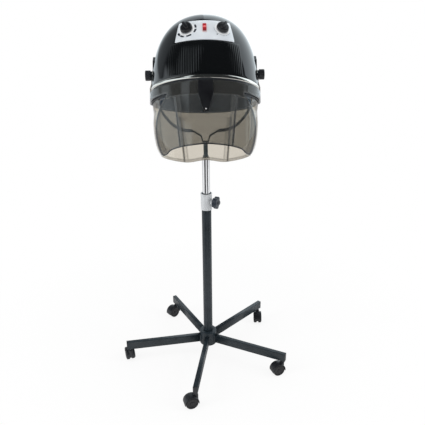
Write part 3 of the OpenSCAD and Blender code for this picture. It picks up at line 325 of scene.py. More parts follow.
def block(low, high, round_off=0.0):
    bm = bmesh.new()
    bmesh.ops.create_cube(bm, size=1)
    for v in bm.verts:
        v.co = [low[k] + (high[k] - low[k]) * (v.co[k] + 0.5) for k in range(3)]
    if round_off:
        soften(bm, round_off)
    return bm


def slab(outline, height, round_off=0.0, segments=2):
    """A flat outline pulled up to a height."""
    bm = bmesh.new()
    face = bm.faces.new([bm.verts.new((x, y, 0)) for x, y in outline])
    pulled = bmesh.ops.extrude_face_region(bm, geom=[face])
    verts = [g for g in pulled["geom"] if isinstance(g, bmesh.types.BMVert)]
    bmesh.ops.translate(bm, vec=(0, 0, height), verts=verts)
    bmesh.ops.recalc_face_normals(bm, faces=bm.faces)
    if round_off:
        soften(bm, round_off, segments=segments)
    return bm


def lobed(parts, radius):
    """An outline whose radius follows the turn."""
    turns = [2 * math.pi * k / parts for k in range(parts)]
    return [(radius(a) * math.cos(a), radius(a) * math.sin(a)) for a in turns]


def add(bm, other, place=Matrix.Identity(4)):
    """Adds another bmesh's shape, placed."""
    bmesh.ops.transform(other, matrix=place, verts=other.verts)
    spare = bpy.data.meshes.new("spare")
    other.to_mesh(spare)
    other.free()
    bm.from_mesh(spare)
    bpy.data.meshes.remove(spare)
    return bm


def sheet_of(columns, rows, shape):
    """A grid laid on a surface: shape takes shares across and down, 0 to 1."""
    bm = bmesh.new()
    bmesh.ops.create_grid(bm, x_segments=columns, y_segments=rows, size=0.5)
    for v in bm.verts:
        v.co = shape(v.co.x + 0.5, 0.5 - v.co.y)
    return bm


def bezier(a, b, c, d, n):
    a, b, c, d = (Vector(p) for p in (a, b, c, d))
    return [(1 - t) ** 3 * a + 3 * (1 - t) ** 2 * t * b + 3 * (1 - t) * t * t * c + t ** 3 * d
            for t in (i / n for i in range(n + 1))]


def clamp(value):
    return min(1.0, max(0.0, value))


def ease(value):
    """0 to 1 with a soft start and end."""
    t = clamp(value)
    return t * t * (3 - 2 * t)


def hump(off, width):
    return math.exp(-(off / width) ** 2)


def along(table, x):
    """Value between the rows of a table of (place, value)."""
    for (x0, v0), (x1, v1) in zip(table, table[1:]):
        if x <= x1:
            break
    return v0 + (v1 - v0) * clamp((x - x0) / (x1 - x0))


def smooth_table(table):
    """The same table with many rows and soft bends."""
    parts, rounds = 8, 8
    x0, x1, n = table[0][0], table[-1][0], parts * len(table)
    xs = [x0 + (x1 - x0) * i / n for i in range(n + 1)]
    vs = [along(table, x) for x in xs]
    for _ in range(rounds):
        vs = [vs[0]] + [(vs[i - 1] + 2 * vs[i] + vs[i + 1]) / 4 for i in range(1, n)] + [vs[-1]]
    return list(zip(xs, vs))


def spot(x, y, z, turned_z=0, leaned_y=0):
    """A place on the stand: turned about the upright after leaning about y."""
    return (Matrix.Translation((x, y, z)) @ Matrix.Rotation(math.radians(turned_z), 4, "Z")
            @ Matrix.Rotation(math.radians(leaned_y), 4, "Y"))


def raised(height):
    return Matrix.Translation((0, 0, height))


# ---------------------------------------------------------------- stand

STAR, LEG_STEP = -27, 72  # turn of the first leg and from leg to leg
LEG_Z, LEG_H, LEG_W, REACH, LEG_WALL, PLUG_T = 52.2, 30.0, 15.0, 298.0, 1.5, 2.0
CASTER_TURNS = (200, 268, 223, 109, 197)
WHEEL_R, AXLE_Z, TRAIL, WEB, WHEEL_GAP, WHEEL_W = 21.0, 21.0, 16.0, 6.0, 0.4, 11.5
# Half a wheel pair's outline, as (radius, distance from the wheel's inner face)
WHEEL = [(0, 0), (19.2, 0), (WHEEL_R, 2), (WHEEL_R, 8.4), (20.4, 10.2), (18.6, 11.3),
         (16.4, WHEEL_W), (15.6, 10.2), (13.5, 9.6), (6.5, 9.8), (5.6, 11), (3, 11.4), (0, 11.4)]
HUB_R, BOLT_R, TUBE_R, TUBE_HOLE = 30.0, 5.5, 16.0, 14.5
INNER_R, INNER_HOLE, STEM_R, STEM_HOLE = 12.5, 11.3, 7.0, 7.05
HUB_Z, HUB_TOP, TUBE_Z = LEG_Z - 8, LEG_Z + LEG_H + 15, LEG_Z - 2
TUBE_TOP = TUBE_Z + 560
COLLAR_R, COLLAR_LIP_R, COLLAR_Z, COLLAR_TOP = 18.5, 19.0, TUBE_TOP - 38, TUBE_TOP + 19
CLAMP_Z = COLLAR_Z + 28
INNER_TOP = COLLAR_TOP + 119
BUSH_TOP = INNER_TOP + 3
STEM_TOP = BUSH_TOP + 50
BAR_Z = STEM_TOP + 36.5


def leg_way(i):
    return Matrix.Rotation(math.radians(STAR + LEG_STEP * i), 4, "Z")


def base():
    hub = turned([(BOLT_R, HUB_Z), (HUB_R, HUB_Z), (HUB_R, HUB_TOP), (TUBE_R, HUB_TOP),
                  (TUBE_R, TUBE_Z), (BOLT_R, TUBE_Z)], round_off=1.6, angle=60, segments=3)
    piece(hub, "hub_shell", FRAME_PAINT, "base", ["hub"], "frame_paint")
    half, top, end = LEG_W / 2, LEG_Z + LEG_H, REACH - PLUG_T
    weld, neck, neck_inset = 3.2, 4.0, 1.6
    welds, plugs = bmesh.new(), bmesh.new()
    for i in range(5):
        way = leg_way(i)
        leg = block((HUB_R - 3, -half, LEG_Z), (end, half, top))
        soften(leg, 1.8, segments=3,
               choose=lambda e: abs((e.verts[0].co - e.verts[1].co).normalized().x) > 0.9)
        ends = [f for f in leg.faces if abs(f.normal.x) > 0.9]
        bmesh.ops.delete(leg, geom=ends, context="FACES")
        tube = piece(leg, f"leg_tube_{i + 1}", FRAME_PAINT, "base", [f"leg_{i + 1}"],
                     "frame_paint", STAND @ way)
        wall = tube.modifiers.new("wall", "SOLIDIFY")
        wall.thickness, wall.offset = LEG_WALL * MM, -1.0
        for side in (-1, 1):
            add(welds, slab([(0, 0), (weld, 0), (0, weld)], LEG_H),
                way @ spot(HUB_R - 1, side * half, LEG_Z) @ Matrix.Scale(side, 4, (0, 1, 0)))
        plug = block((end, -half, LEG_Z), (REACH, half, top), 0.7)
        add(plug, block((end - neck, neck_inset - half, LEG_Z + neck_inset),
                        (end, half - neck_inset, top - neck_inset)))
        add(plugs, plug, way)
    piece(welds, "leg_welds", FRAME_PAINT, "base", (), "frame_paint")
    piece(plugs, "leg_plugs", CASTER_NYLON, "base", ["leg_end_plugs"], "black_plastic")


def casters():
    cover_gap, cover_wall, inset = 1.2, 2.0, 12.0
    cover_r, half_w = WHEEL_R + cover_gap + cover_wall, WEB / 2 + WHEEL_GAP + WHEEL_W
    rim = [(cover_r - cover_wall, -half_w), (cover_r - 0.6, -half_w), (cover_r, -half_w + 1.5)]
    rim += [(r, -out) for r, out in rim[::-1]]
    top_z, stem_top = AXLE_Z + cover_r, LEG_Z + 20
    for i, way in enumerate(CASTER_TURNS):
        x, y, _ = leg_way(i) @ Vector((REACH - inset, 0, 0))
        place = STAND @ spot(x, y, 0, way)
        axle_place = Matrix.Translation((TRAIL, 0, AXLE_Z)) @ UPRIGHT
        # cover: a half drum with rounded cheeks, open to the wheels below
        drum = spun(rim, 22, sweep=198, start=81)
        bmesh.ops.holes_fill(drum, edges=[e for e in drum.edges if e.is_boundary], sides=0)
        cover = add(bmesh.new(), drum, axle_place)
        arc = [math.radians(a) for a in range(-9, 190, 9)]
        web_r, foot = cover_r - 1, 5.5
        web = slab([(TRAIL + web_r * math.cos(a), AXLE_Z + web_r * math.sin(a)) for a in arc]
                   + [(TRAIL - foot, AXLE_Z - 5), (TRAIL + foot, AXLE_Z - 5)], WEB)
        add(cover, web, Matrix.Translation((0, WEB / 2, 0)) @ UPRIGHT)
        add(cover, turned([(0, AXLE_Z - 2), (6, AXLE_Z - 2), (8, AXLE_Z + 4), (8, top_z - 1),
                           (6.5, top_z + 2), (5, top_z + 2), (5, stem_top), (0, stem_top)], 32))
        piece(cover, f"caster_cover_{i + 1}", CASTER_NYLON, f"caster_{i + 1}",
              [f"caster_body_{i + 1}"], "caster_plastic", place)
        wheels = bmesh.new()
        for side in (-1, 1):
            wheel = turned([(r, WEB / 2 + WHEEL_GAP + out) for r, out in WHEEL], 48, 0.3, 60)
            add(wheels, wheel, Matrix.Scale(side, 4, (0, 0, 1)))
        add(wheels, turned(sleeve(0, 2.5, -6, 6), 24))
        piece(wheels, f"caster_wheel_pair_{i + 1}", TREAD, f"wheels_{i + 1}",
              [f"caster_wheels_{i + 1}"], "wheel_rubber", place @ axle_place)


def column():
    piece(turned(sleeve(TUBE_HOLE, TUBE_R, TUBE_Z, TUBE_TOP), round_off=0.4, angle=60),
          "column_tube", FRAME_PAINT, "base", ["outer_tube"], "frame_paint")
    collar = turned([(TUBE_R, COLLAR_Z), (COLLAR_R, COLLAR_Z), (COLLAR_R, COLLAR_TOP - 4),
                     (COLLAR_LIP_R, COLLAR_TOP - 3.4), (COLLAR_LIP_R, COLLAR_TOP),
                     (TUBE_R, COLLAR_TOP)], round_off=0.7, angle=40)
    clamp_place = spot(0, 0, CLAMP_Z, STAR, 90)
    add(collar, turned(sleeve(4.05, 9, TUBE_R + 0.05, 23.5), 48, 0.8, 50), clamp_place)
    piece(collar, "collar_shell", COLLAR_SILVER, "base", ["tube_collar"], "collar_silver")
    liner_hole, lip_z = INNER_R + 0.1, COLLAR_TOP + 0.4
    liner = turned([(liner_hole, TUBE_TOP), (TUBE_R, TUBE_TOP), (TUBE_R, COLLAR_TOP - 1),
                    (TUBE_R - 1.4, lip_z), (liner_hole, lip_z)], round_off=0.5, angle=40)
    piece(liner, "collar_liner", KNOB_BLACK, "base", ["collar_bush"], "black_plastic")
    # five-lobed clamp knob, with its neck and cap
    star = lobed(120, lambda a: 18.7 + 2.5 * math.cos(5 * a) - 0.3 * math.cos(10 * a))
    knob = add(bmesh.new(), slab(star, 15, 2.6, 4), raised(27.5))
    add(knob, turned([(0, 12.6), (4, 12.6), (4, 24), (9, 24), (9.5, 28), (0, 28)], 48, 0.5, 50))
    add(knob, turned(sleeve(0, 8.5, 42, 43.2), 48, 0.5, 50), raised(-0.7))
    piece(knob, "clamp_star_knob", STAR_SLATE, "clamp_knob", ["clamp_knob"], "black_plastic",
          STAND @ clamp_place)
    piece(turned(sleeve(INNER_HOLE, INNER_R, INNER_TOP - 480, INNER_TOP)),
          "chrome_tube", TUBE_CHROME, "inner_column", ["inner_tube"], "tube_chrome")
    bush_z = INNER_TOP - 40
    piece(turned([(STEM_HOLE, bush_z), (INNER_HOLE, bush_z), (INNER_HOLE, INNER_TOP),
                  (INNER_R, INNER_TOP), (INNER_R, BUSH_TOP), (STEM_HOLE, BUSH_TOP)],
                 round_off=0.6, angle=60),
          "stem_bearing", PALE_NYLON, "inner_column", ["stem_bush"], "pale_bush")
    stem_z, stop_r, stop_z, stop_top = BUSH_TOP - 66, 9.0, BUSH_TOP + 0.5, BUSH_TOP + 5.5
    piece(turned([(0, stem_z), (STEM_R, stem_z), (STEM_R, stop_z), (stop_r, stop_z),
                  (stop_r, stop_top), (STEM_R, stop_top), (STEM_R, STEM_TOP), (0, STEM_TOP)],
                 64, 0.5, 60), "yoke_post", STEM_PAINT, "yoke", ["yoke_stem"], "stem_steel")


YOKE_REACH, YOKE_LEAN, YOKE_FOOT, YOKE_STRAIGHT = 205.0, 26.8, 40.0, 30.0
YOKE_BEND_SHARES = ((0.974, 0.488), (0.777, 0.927), (0.42, 0.99))  # of half width and reach
VEE_SHARE = 0.44  # of the V's height, where its sides bend inwards
BAR_W, BAR_T = 13.0, 3.5
YOKE_IN, KNOB_IN, SCREW_HOLE = 150.2, 154.3, 4.05


def ribbon(points, thick):
    """Both sides of a line of (x, y) points, as one outline."""
    left, right = [], []
    for i, p in enumerate(points):
        ahead = points[min(i + 1, len(points) - 1)] - points[max(i - 1, 0)]
        side = Vector((-ahead.y, ahead.x)).normalized() * thick / 2
        left.append(p + side)
        right.append(p - side)
    return [tuple(p) for p in left + right[::-1]]


def yoke():
    x0 = YOKE_IN + BAR_T / 2
    bend = [(x * x0, -y * YOKE_REACH) for x, y in YOKE_BEND_SHARES]
    line = [Vector((x0, 0))] + bezier((x0, -YOKE_STRAIGHT), *bend, 28)
    line.append(Vector((YOKE_FOOT, -YOKE_REACH)))
    bow = bmesh.new()
    pivot = Matrix.Translation(PIVOT) @ Matrix.Rotation(math.radians(YOKE_LEAN), 4, "X")
    middle = Matrix.Translation((0, BAR_W / 2, 0)) @ UPRIGHT
    for side in (-1, 1):
        arm = slab(ribbon(line, BAR_T), BAR_W, 0.8)
        add(bow, arm, pivot @ Matrix.Scale(side, 4, (1, 0, 0)) @ middle)
        eye = turned(sleeve(SCREW_HOLE, 12, 0, BAR_T), 48, 0.7, 50)
        add(bow, eye, pivot @ Matrix.Rotation(math.radians(90 * side), 4, "Y") @ raised(YOKE_IN))
    half = [(YOKE_FOOT + BAR_T, BAR_Z), (YOKE_FOOT, BAR_Z),
            (2 * STEM_R, BAR_Z - VEE_SHARE * (BAR_Z - STEM_TOP)),
            (STEM_R + BAR_T / 2, STEM_TOP + BAR_T / 2)]
    vee = [Vector((-x, z)) for x, z in half] + [Vector(p) for p in half[::-1]]
    add(bow, slab(ribbon(vee, BAR_T), BAR_W, 0.6), middle)
    piece(bow, "yoke_bow", FRAME_PAINT, "yoke", ["yoke"], "frame_paint")


# ---------------------------------------------------------------- hood shell

DOME_R, DOME_H, DOME_WALL = 150.0, 207.0, 3.0
POW_R, POW_Z = 2.7, 2.3  # powers of the dome's rounded outline
RING_R, RING_BACK_R, RING_LOW, RING_HIGH = 153.0, 147.2, -3.0, 7.5
BAND_R, MOUTH_Z, MOUTH_LEAN = 152.5, -34.54, math.tan(math.radians(2.8))
CHEEK = [(-16, 17), (16, 17), (24, 25), (24, 84), (8, 100), (-8, 100), (-24, 84), (-24, 25)]
CHEEK_OUT = 146.5
SLOT_LOW, SLOT_HIGH, SLOT_STEP, SLOTS_A_SIDE = 62, 112, 7, 4


def dome_at(z):
    return DOME_R * max(0.0, 1 - (max(0.0, z) / DOME_H) ** POW_Z) ** (1 / POW_R)


def dome_rows(z0, z1, n):
    """Points up the dome's outline, closer together near the crown."""
    t0, t1 = (math.asin((z / DOME_H) ** (POW_Z / 2)) for z in (z0, z1))
    ts = [t0 + (t1 - t0) * i / n for i in range(n + 1)]
    return [(DOME_R * math.cos(t) ** (2 / POW_R) if t < math.pi / 2 - 1e-6 else 0.0,
             DOME_H * math.sin(t) ** (2 / POW_Z)) for t in ts]


def dome_face(z):
    """Lean of the dome's face at a height."""
    step = DOME_H / 200
    return math.atan((dome_at(z - step) - dome_at(z + step)) / (2 * step))


def on_dome(z, turned_by):
    """Frame standing on the dome's face."""
    return (Matrix.Rotation(math.radians(turned_by), 4, "Z")
            @ Matrix.Translation((0, -dome_at(z), z))
            @ Matrix.Rotation(math.pi / 2 - dome_face(z), 4, "X"))


def round_hood(r, a, z):
    """Point at a radius, an angle from the front and a height."""
    return (r * math.sin(a), -r * math.cos(a), z)


def is_slot(f):
    """Whether a face of the dome lies in one of the air slots at the back."""
    c = f.calc_center_median()
    back = math.degrees(math.atan2(c.x, c.y))
    nearest = round(back / SLOT_STEP)
    return (SLOT_LOW < c.z < SLOT_HIGH and abs(nearest) <= SLOTS_A_SIDE
            and abs(back - SLOT_STEP * nearest) < 1.0)


def dome():
    rows = (dome_rows(RING_HIGH, SLOT_LOW, 8) + dome_rows(SLOT_LOW, SLOT_HIGH, 8)[1:]
            + dome_rows(SLOT_HIGH, DOME_H, 26)[1:])
    shell = spun(rows, 360, closed=False)
    bmesh.ops.delete(shell, geom=[f for f in shell.faces if is_slot(f)], context="FACES")
    # windows for the cheek pads
    sides = list(zip(CHEEK, CHEEK[1:] + CHEEK[:1]))
    for (y0, z0), (y1, z1) in sides:
        middles = [(f, f.calc_center_median()) for f in shell.faces]
        near = [f for f, c in middles if abs(c.y) < 30 and c.z < 106]
        near += list({e for f in near for e in f.edges}) + list({v for f in near for v in f.verts})
        bmesh.ops.bisect_plane(shell, geom=near, dist=0.001, plane_co=(0, y0, z0),
                               plane_no=(0, z1 - z0, y0 - y1))

    def in_window(f):
        c = f.calc_center_median()
        return all((y1 - y0) * (c.z - z0) - (z1 - z0) * (c.y - y0) > 0
                   for (y0, z0), (y1, z1) in sides)

    bmesh.ops.delete(shell, geom=[f for f in shell.faces if in_window(f)], context="FACES")
    piece(shell, "dome_shell", DOME_GLOSS, "hood", ["dome"], "dome_gloss", HOOD, 60,
          thick=DOME_WALL)


def front_ribs():
    """Shallow upright ribs below the panel, fading into the dome at their ends."""
    half_turn, z0, z1, ribs, parts = math.radians(41), 9.5, 99.0, 34, 6
    rib_h, lift, fade_over = 0.4, 0.05, 6

    def shape(u, v):
        a = half_turn * (2 * u - 1)
        z = z1 + (z0 - z1) * v
        inside = min(min(u, 1 - u) * 2 * half_turn * DOME_R, min(v, 1 - v) * (z1 - z0))
        rib = max(0.0, math.cos(2 * math.pi * (u * ribs - 0.5))) ** 0.6
        return round_hood(dome_at(z) + lift + rib_h * rib * ease(inside / fade_over), a, z)

    piece(sheet_of(ribs * parts, 24, shape), "ribbed_field", RIB_GLOSS, "hood", ["front_ribs"],
          "dome_gloss", HOOD, 40, thick=0.6)


def trim_ring():
    """A bright ring with a bulging face."""
    middle, half, bulge = (RING_LOW + RING_HIGH) / 2, (RING_HIGH - RING_LOW) / 2, 2.4
    turns = [math.radians(-85 + 17 * k) for k in range(11)]
    face = [(RING_R - bulge + bulge * math.cos(a), middle + half * math.sin(a)) for a in turns]
    rim = [(RING_BACK_R, RING_LOW), (RING_BACK_R + 3, RING_LOW), *face,
           (RING_BACK_R + 3, RING_HIGH), (RING_BACK_R, RING_HIGH)]
    piece(turned(rim, 240), "bright_ring", RING_CHROME, "hood", ["trim_ring"], "ring_bright",
          HOOD, 50)


def ribbed_band():
    """Finely ribbed hoop below the ring, down to the leaning mouth, with two beads at its lip."""
    ribs, parts, rib_h, bead_h, bead_w = 180, 6, 0.5, 0.55, 1.3

    def shape(u, v):
        a = 2 * math.pi * u
        low = MOUTH_Z - BAND_R * math.cos(a) * MOUTH_LEAN
        z = RING_LOW + (low - RING_LOW) * v
        lip = z - low
        ends = min(1.0, v * 12) * clamp((lip - 8) / 2)
        rib = (0.5 - 0.5 * math.cos(2 * math.pi * ribs * u)) * ends
        bead = hump(lip - 6.4, bead_w) + hump(lip - 0.8, bead_w)
        return round_hood(BAND_R + rib_h * rib + bead_h * bead, a, z)

    piece(sheet_of(ribs * parts, 30, shape), "ribbed_hoop", BAND_BLACK, "hood", ["ribbed_band"],
          "band_black", HOOD, 40, thick=2.4)


SHEET_T = 2.5  # of the skirt and the visor
SKIRT_R, SKIRT_TOP, SKIRT_DEPTH, SKIRT_DIP, SKIRT_START = 149.5, -7.9, 178.0, 9.0, 57.0
SKIRT_LOW, FOLDS_TOP = -SKIRT_DEPTH - SKIRT_DIP, -42.4
SKIRT_SHARES = smooth_table([(0, 1), (0.19, 1), (0.3, 0.976), (0.47, 0.99), (0.64, 0.976),
                             (0.8, 0.945), (0.9, 0.905), (1, 0.83)])
FOLD_H = 1.2


def fold_line(radius, share):
    """Half distance between the two folds, which near each other on the way down."""
    return radius * (0.5 - 0.1 * clamp(share))


def fold(off):
    """Height of a flat-topped fold at a distance from its middle line."""
    return FOLD_H * math.exp(-(off / 5.5) ** 6)


def painted_fold_shade(off):
    """Painted shade of a fold: a dark line at its outer side and a faint one at its inner side."""
    return max(hump(off - 5.6, 2.3), 0.4 * hump(off + 5.6, 1.6), 0.16 if abs(off) < 6 else 0.0)


def skirt_hem(a):
    """Height of the skirt's wavy hem at an angle from the front."""
    c = 0.4 * SKIRT_R
    x = abs(0.83 * SKIRT_R * math.sin(a))
    if x < c:
        return -SKIRT_DEPTH - SKIRT_DIP * ease(x / c)
    return SKIRT_LOW + 0.67 * SKIRT_DIP * ease((x - c) / (SKIRT_R - c))


def off_skirt_fold(x, z):
    return abs(x) - fold_line(SKIRT_R, (z - FOLDS_TOP) / (SKIRT_LOW - FOLDS_TOP))


def rear_skirt():
    def shape(u, v):
        a = math.radians(SKIRT_START + (360 - 2 * SKIRT_START) * u)
        z = SKIRT_TOP + (skirt_hem(a) - SKIRT_TOP) * v
        r = SKIRT_R * along(SKIRT_SHARES, (z - SKIRT_TOP) / (SKIRT_LOW - SKIRT_TOP))
        if math.cos(a) < 0:
            r += fold(off_skirt_fold(r * math.sin(a), z)) * clamp((-44 - z) / 8)
        return round_hood(r, a, z)

    # Painted shade: dark lines at the folds and along the edges. The hem's lip has its own darker
    # tint, with a painted shade line along its upper edge.
    def shade(v):
        x, y, z = v.co
        up = z - skirt_hem(math.atan2(x, -y))
        line = 0.9 * painted_fold_shade(off_skirt_fold(x, z)) if y > 0 and z < -44 else 0.0
        rim = 0.5 if v.is_boundary and z < -30 else 0.0
        hem_strip = max(0.24 if up < 8 else 0.0, 0.55 * hump(up - 8.5, 1.4))
        return max(line, rim, hem_strip)

    piece(sheet_of(320, 90, shape), "clear_skirt", SKIRT_CLEAR, "hood", ["rear_skirt"],
          "skirt_clear", HOOD, 60, thick=SHEET_T, shade=shade)


def pivot_cheeks():
    """Flat pads in the dome's windows, for the visor's ears and the tilt screws to bear on."""
    depth, gap, back = 16, 0.3, DOME_WALL - 0.1
    middle = sum(z for _, z in CHEEK) / len(CHEEK)
    outline = [(y - math.copysign(gap, y), z - math.copysign(gap, z - middle)) for y, z in CHEEK]
    cuts = [((y, 0, 0), (1, 0, 0)) for y in (-16, -8, 0, 8, 16)]
    cuts += [((0, z, 0), (0, 1, 0)) for z in (25, 34, 43, 52, 60, 68, 76, 84, 92)]
    for side, word in ((-1, "left"), (1, "right")):
        plate = slab(outline, depth)
        soften(plate, 1.2, segments=3, choose=lambda e: min(v.co.z for v in e.verts) > depth - 1)
        for place, way in cuts:
            everything = plate.verts[:] + plate.edges[:] + plate.faces[:]
            bmesh.ops.bisect_plane(plate, geom=everything, dist=0.001, plane_co=place, plane_no=way)
        for v in plate.verts:
            y, z, out = v.co
            x = (CHEEK_OUT - depth + out if out > 12
                 else math.sqrt((dome_at(z) - back) ** 2 - y * y))
            v.co = (side * x, y, z)
        piece(plate, f"cheek_pad_{word}", GRIP_BLACK, "hood", [f"pivot_cheek_{word}"],
              "black_plastic", HOOD)


# ---------------------------------------------------------------- controls

PANEL_LOW, PANEL_HIGH, PANEL_T = 101.0, 163.0, 2.0
PANEL_HALF_TOP, PANEL_HALF_LOW = 68.0, 79.0
CONTROL_Z = (PANEL_LOW + PANEL_HIGH) / 2 + 4
CONTROL_TURN = 21.5


def on_panel(x, y, turned_by, lift):
    """Point on the panel's face, from distances across and up from a knob's middle."""
    z = CONTROL_Z + y * math.cos(dome_face(CONTROL_Z))
    a = math.radians(turned_by) + x / dome_at(CONTROL_Z)
    return round_hood(dome_at(z) + PANEL_T + lift, a, z)


def arc_mark(bm, turned_by, radii, span, parts, lift=0.14):
    """A printed arc round a knob, between two radii and over a span of degrees."""
    start, stop = span
    turns = [math.radians(start + (stop - start) * k / parts) for k in range(parts + 1)]
    inner, outer = [[bm.verts.new(on_panel(r * math.cos(a), r * math.sin(a), turned_by, lift))
                     for a in turns] for r in radii]
    for k in range(parts):
        bm.faces.new((inner[k], outer[k], outer[k + 1], inner[k + 1]))


def control_panel():
    def shape(u, v):
        z = PANEL_HIGH + (PANEL_LOW - PANEL_HIGH) * v
        x = (PANEL_HALF_TOP + (PANEL_HALF_LOW - PANEL_HALF_TOP) * v) * (2 * u - 1)
        r = dome_at(z) + PANEL_T
        return round_hood(r, math.asin(x / r), z)

    plate = sheet_of(48, 20, shape)
    corners = [v for v in plate.verts if len(v.link_faces) == 1]
    bmesh.ops.bevel(plate, geom=corners, offset=3.0, offset_type="OFFSET", segments=4, profile=0.5,
                    affect="VERTICES", material=-1)
    piece(plate, "panel_plate", PANEL_SILVER, "hood", ["control_panel"], "panel_silver", HOOD, 40,
          thick=PANEL_T - 0.1)
    rings, dashes, ticks = bmesh.new(), bmesh.new(), bmesh.new()
    arc_mark(rings, -CONTROL_TURN, (15.5, 21.0), (0, 360), 60, 0.12)
    arc_mark(rings, CONTROL_TURN, (15.5, 20.0), (0, 360), 60, 0.12)
    for span in ((201, 229), (234, 259), (275, 305), (328, 355), (6, 34)):
        arc_mark(dashes, -CONTROL_TURN, (21.8, 26.8), span, 6)
    arc_mark(dashes, CONTROL_TURN, (24.4, 27.4), (227, 235), 2)
    arc_mark(ticks, CONTROL_TURN, (21.6, 22.3), (175, 330), 40)
    for start in range(176, 347, 19):
        arc_mark(ticks, CONTROL_TURN, (22.2, 24.0), (start, start + 2.2), 1)
    for marks, name, finish, slot in ((rings, "dial_rings", DIAL_WHITE, "panel_silver"),
                                      (dashes, "timer_scale", DIAL_BLACK, "black_plastic"),
                                      (ticks, "heat_scale", DIAL_GREY, "panel_silver")):
        piece(marks, name, finish, "hood", (), slot, HOOD, 40, thick=0.1)


def dial_knobs():
    bar_half_w, bar_half_len = 4, 13.6
    bar_shares = [(-1, -0.8), (-0.7, -1), (0.7, -1), (1, -0.8), (1, 0.8), (0.7, 1), (-0.7, 1),
                  (-1, 0.8)]
    for turned_by, pointer, name, node in ((-CONTROL_TURN, 35, "timer_dial_knob", "timer_knob"),
                                           (CONTROL_TURN, -40, "heat_dial_knob", "heat_knob")):
        knob = turned([(0, 4), (16.4, 4), (17, 4.8), (16.6, 7.5), (15.2, 11.8), (14.2, 13), (0, 13)],
                      72, 0.5, 40)
        bar = slab([(bar_half_w * x, bar_half_len * y) for x, y in bar_shares], 8, 1.2, 3)
        add(knob, bar, Matrix.Rotation(math.radians(pointer), 4, "Z") @ raised(11))
        add(knob, turned(sleeve(0, 3, -6, 5), 32))
        piece(knob, name, GRIP_BLACK, node, [node], "black_plastic",
              HOOD @ on_dome(CONTROL_Z, turned_by))


def rocker():
    place = HOOD @ on_dome(CONTROL_Z, 0)
    # outer and inner half sizes of the frame, and its heights from the dome's face
    x1, y1, x0, y0, low, high, case_low = 5.95, 13.7, 5.0, 12.8, -8, 3, -14.5
    frame_bars = bmesh.new()
    for corner, far in (((-x1, -y1), (-x0, y1)), ((x0, -y1), (x1, y1)),
                        ((-x1, y0), (x1, y1)), ((-x1, -y1), (x1, -y0))):
        add(frame_bars, block((*corner, low), (*far, high), 0.35))
    add(frame_bars, block((-5.9, -13.6, case_low), (5.9, 13.6, low)))
    piece(frame_bars, "rocker_frame", FRAME_PINK, "hood", ["power_switch_case"], "switch_red", place)
    # the key's outline is its side view, pulled across the switch and tipped
    key_w, highlight_w, highlight_half = 9.5, 7.5, 2.6
    key = slab([(-11.3, 10), (-1.2, 8.2), (1.2, 8.2), (11.3, 10), (10.6, 2), (6.2, -3),
                (-6.2, -3), (-10.6, 2)], key_w, 0.6, 3)
    tipped = (raised(-3) @ Matrix.Rotation(math.radians(-7), 4, "X")
              @ Matrix.Rotation(math.pi / 2, 4, "Z") @ UPRIGHT @ raised(-key_w / 2))
    piece(key, "rocker_key", ROCKER_RED, "power_rocker", ["power_rocker"], "switch_red",
          place @ tipped)
    # a paler red strip along the key's middle bend: a painted highlight
    lens = slab([(-highlight_half, 8.5), (highlight_half, 8.5), (highlight_half, 9.1), (-highlight_half, 9.1)],
                highlight_w, 0.2)
    piece(lens, "rocker_key_highlight", KEY_HIGHLIGHT_RED, "power_rocker", (), "switch_red",
          place @ tipped @ raised((key_w - highlight_w) / 2))


# ---------------------------------------------------------------- visor

VISOR_R, EAR_OUT, EAR_EYE, PIVOT_HOLE = 156.6, 149.6, 14.0, 4.05
BEND_LOW, BEND_HIGH = 9.5, 31.0  # heights between which the ears are set in
VISOR_TOP, VISOR_LOW, WING_LOW, WING_X = -8.9, -197.2, -33.6, 103.0
VISOR_FOLD_LOW = -177.0
VISOR_HALF, VISOR_DEPTH, CORNER_DROP = 137.0, 172.0, 21.0
VISOR_SHARES = smooth_table([(0, 1), (0.3, 1), (0.56, 0.99), (0.76, 0.962), (0.89, 0.93),
                             (1, 0.89)])
# Shares of the half width, depth and corner drop: down the side, round the corner, along the rim
EDGE_SHARES = (
    (0.752, 0.21, 0), (0.89, 0.349, 0), (1, 0.512, 0), (1, 0.7, 0), (1, 0.87, 0), (0.942, 0.99, 0),
    (0.915, 1, 0.38), (0.887, 1, 0.9), (0.839, 1, 1.1), (0.781, 1, 0.93), (0.752, 1, 0.83),
    (0.73, 1, 0.69), (0.7, 1, 0.55), (0.62, 1, 0.31), (0.44, 1, 0.17), (0, 1, 0))
EDGE = [(x * VISOR_HALF, -depth * VISOR_DEPTH - drop * CORNER_DROP)
        for x, depth, drop in EDGE_SHARES]
SIDE = bezier(*EDGE[0:4], 24) + bezier(*EDGE[3:7], 24)[1:] + bezier(*EDGE[6:10], 10)[1:]
RIM = bezier(*EDGE[12:16], 24)[::-1] + [Vector(p) for p in EDGE[11:8:-1]]
FLAT_ROWS, VISOR_ROWS, EAR_ROWS, EAR_COLUMNS = 6, 78, 24, 10
# The rows above the visor's corner are level, and the wings and ears share them.
LEVELS = [VISOR_TOP + (WING_LOW - VISOR_TOP) * k / FLAT_ROWS for k in range(FLAT_ROWS + 1)]


def visor_r(z):
    """Outside of the visor; above the ribbed band its ears are set in."""
    if z > BEND_LOW:
        return VISOR_R + (EAR_OUT - VISOR_R) * clamp((z - BEND_LOW) / (BEND_HIGH - BEND_LOW))
    return VISOR_R * along(VISOR_SHARES, (BEND_LOW - z) / (BEND_LOW - VISOR_LOW))


def point_along(line, share):
    """Point at a share of a line's length."""
    lengths = [(q - p).length for p, q in zip(line, line[1:])]
    left = share * sum(lengths)
    for k, length in enumerate(lengths):
        if left <= length or k == len(lengths) - 1:
            return line[k].lerp(line[k + 1], min(1.0, left / max(1e-9, length)))
        left -= length


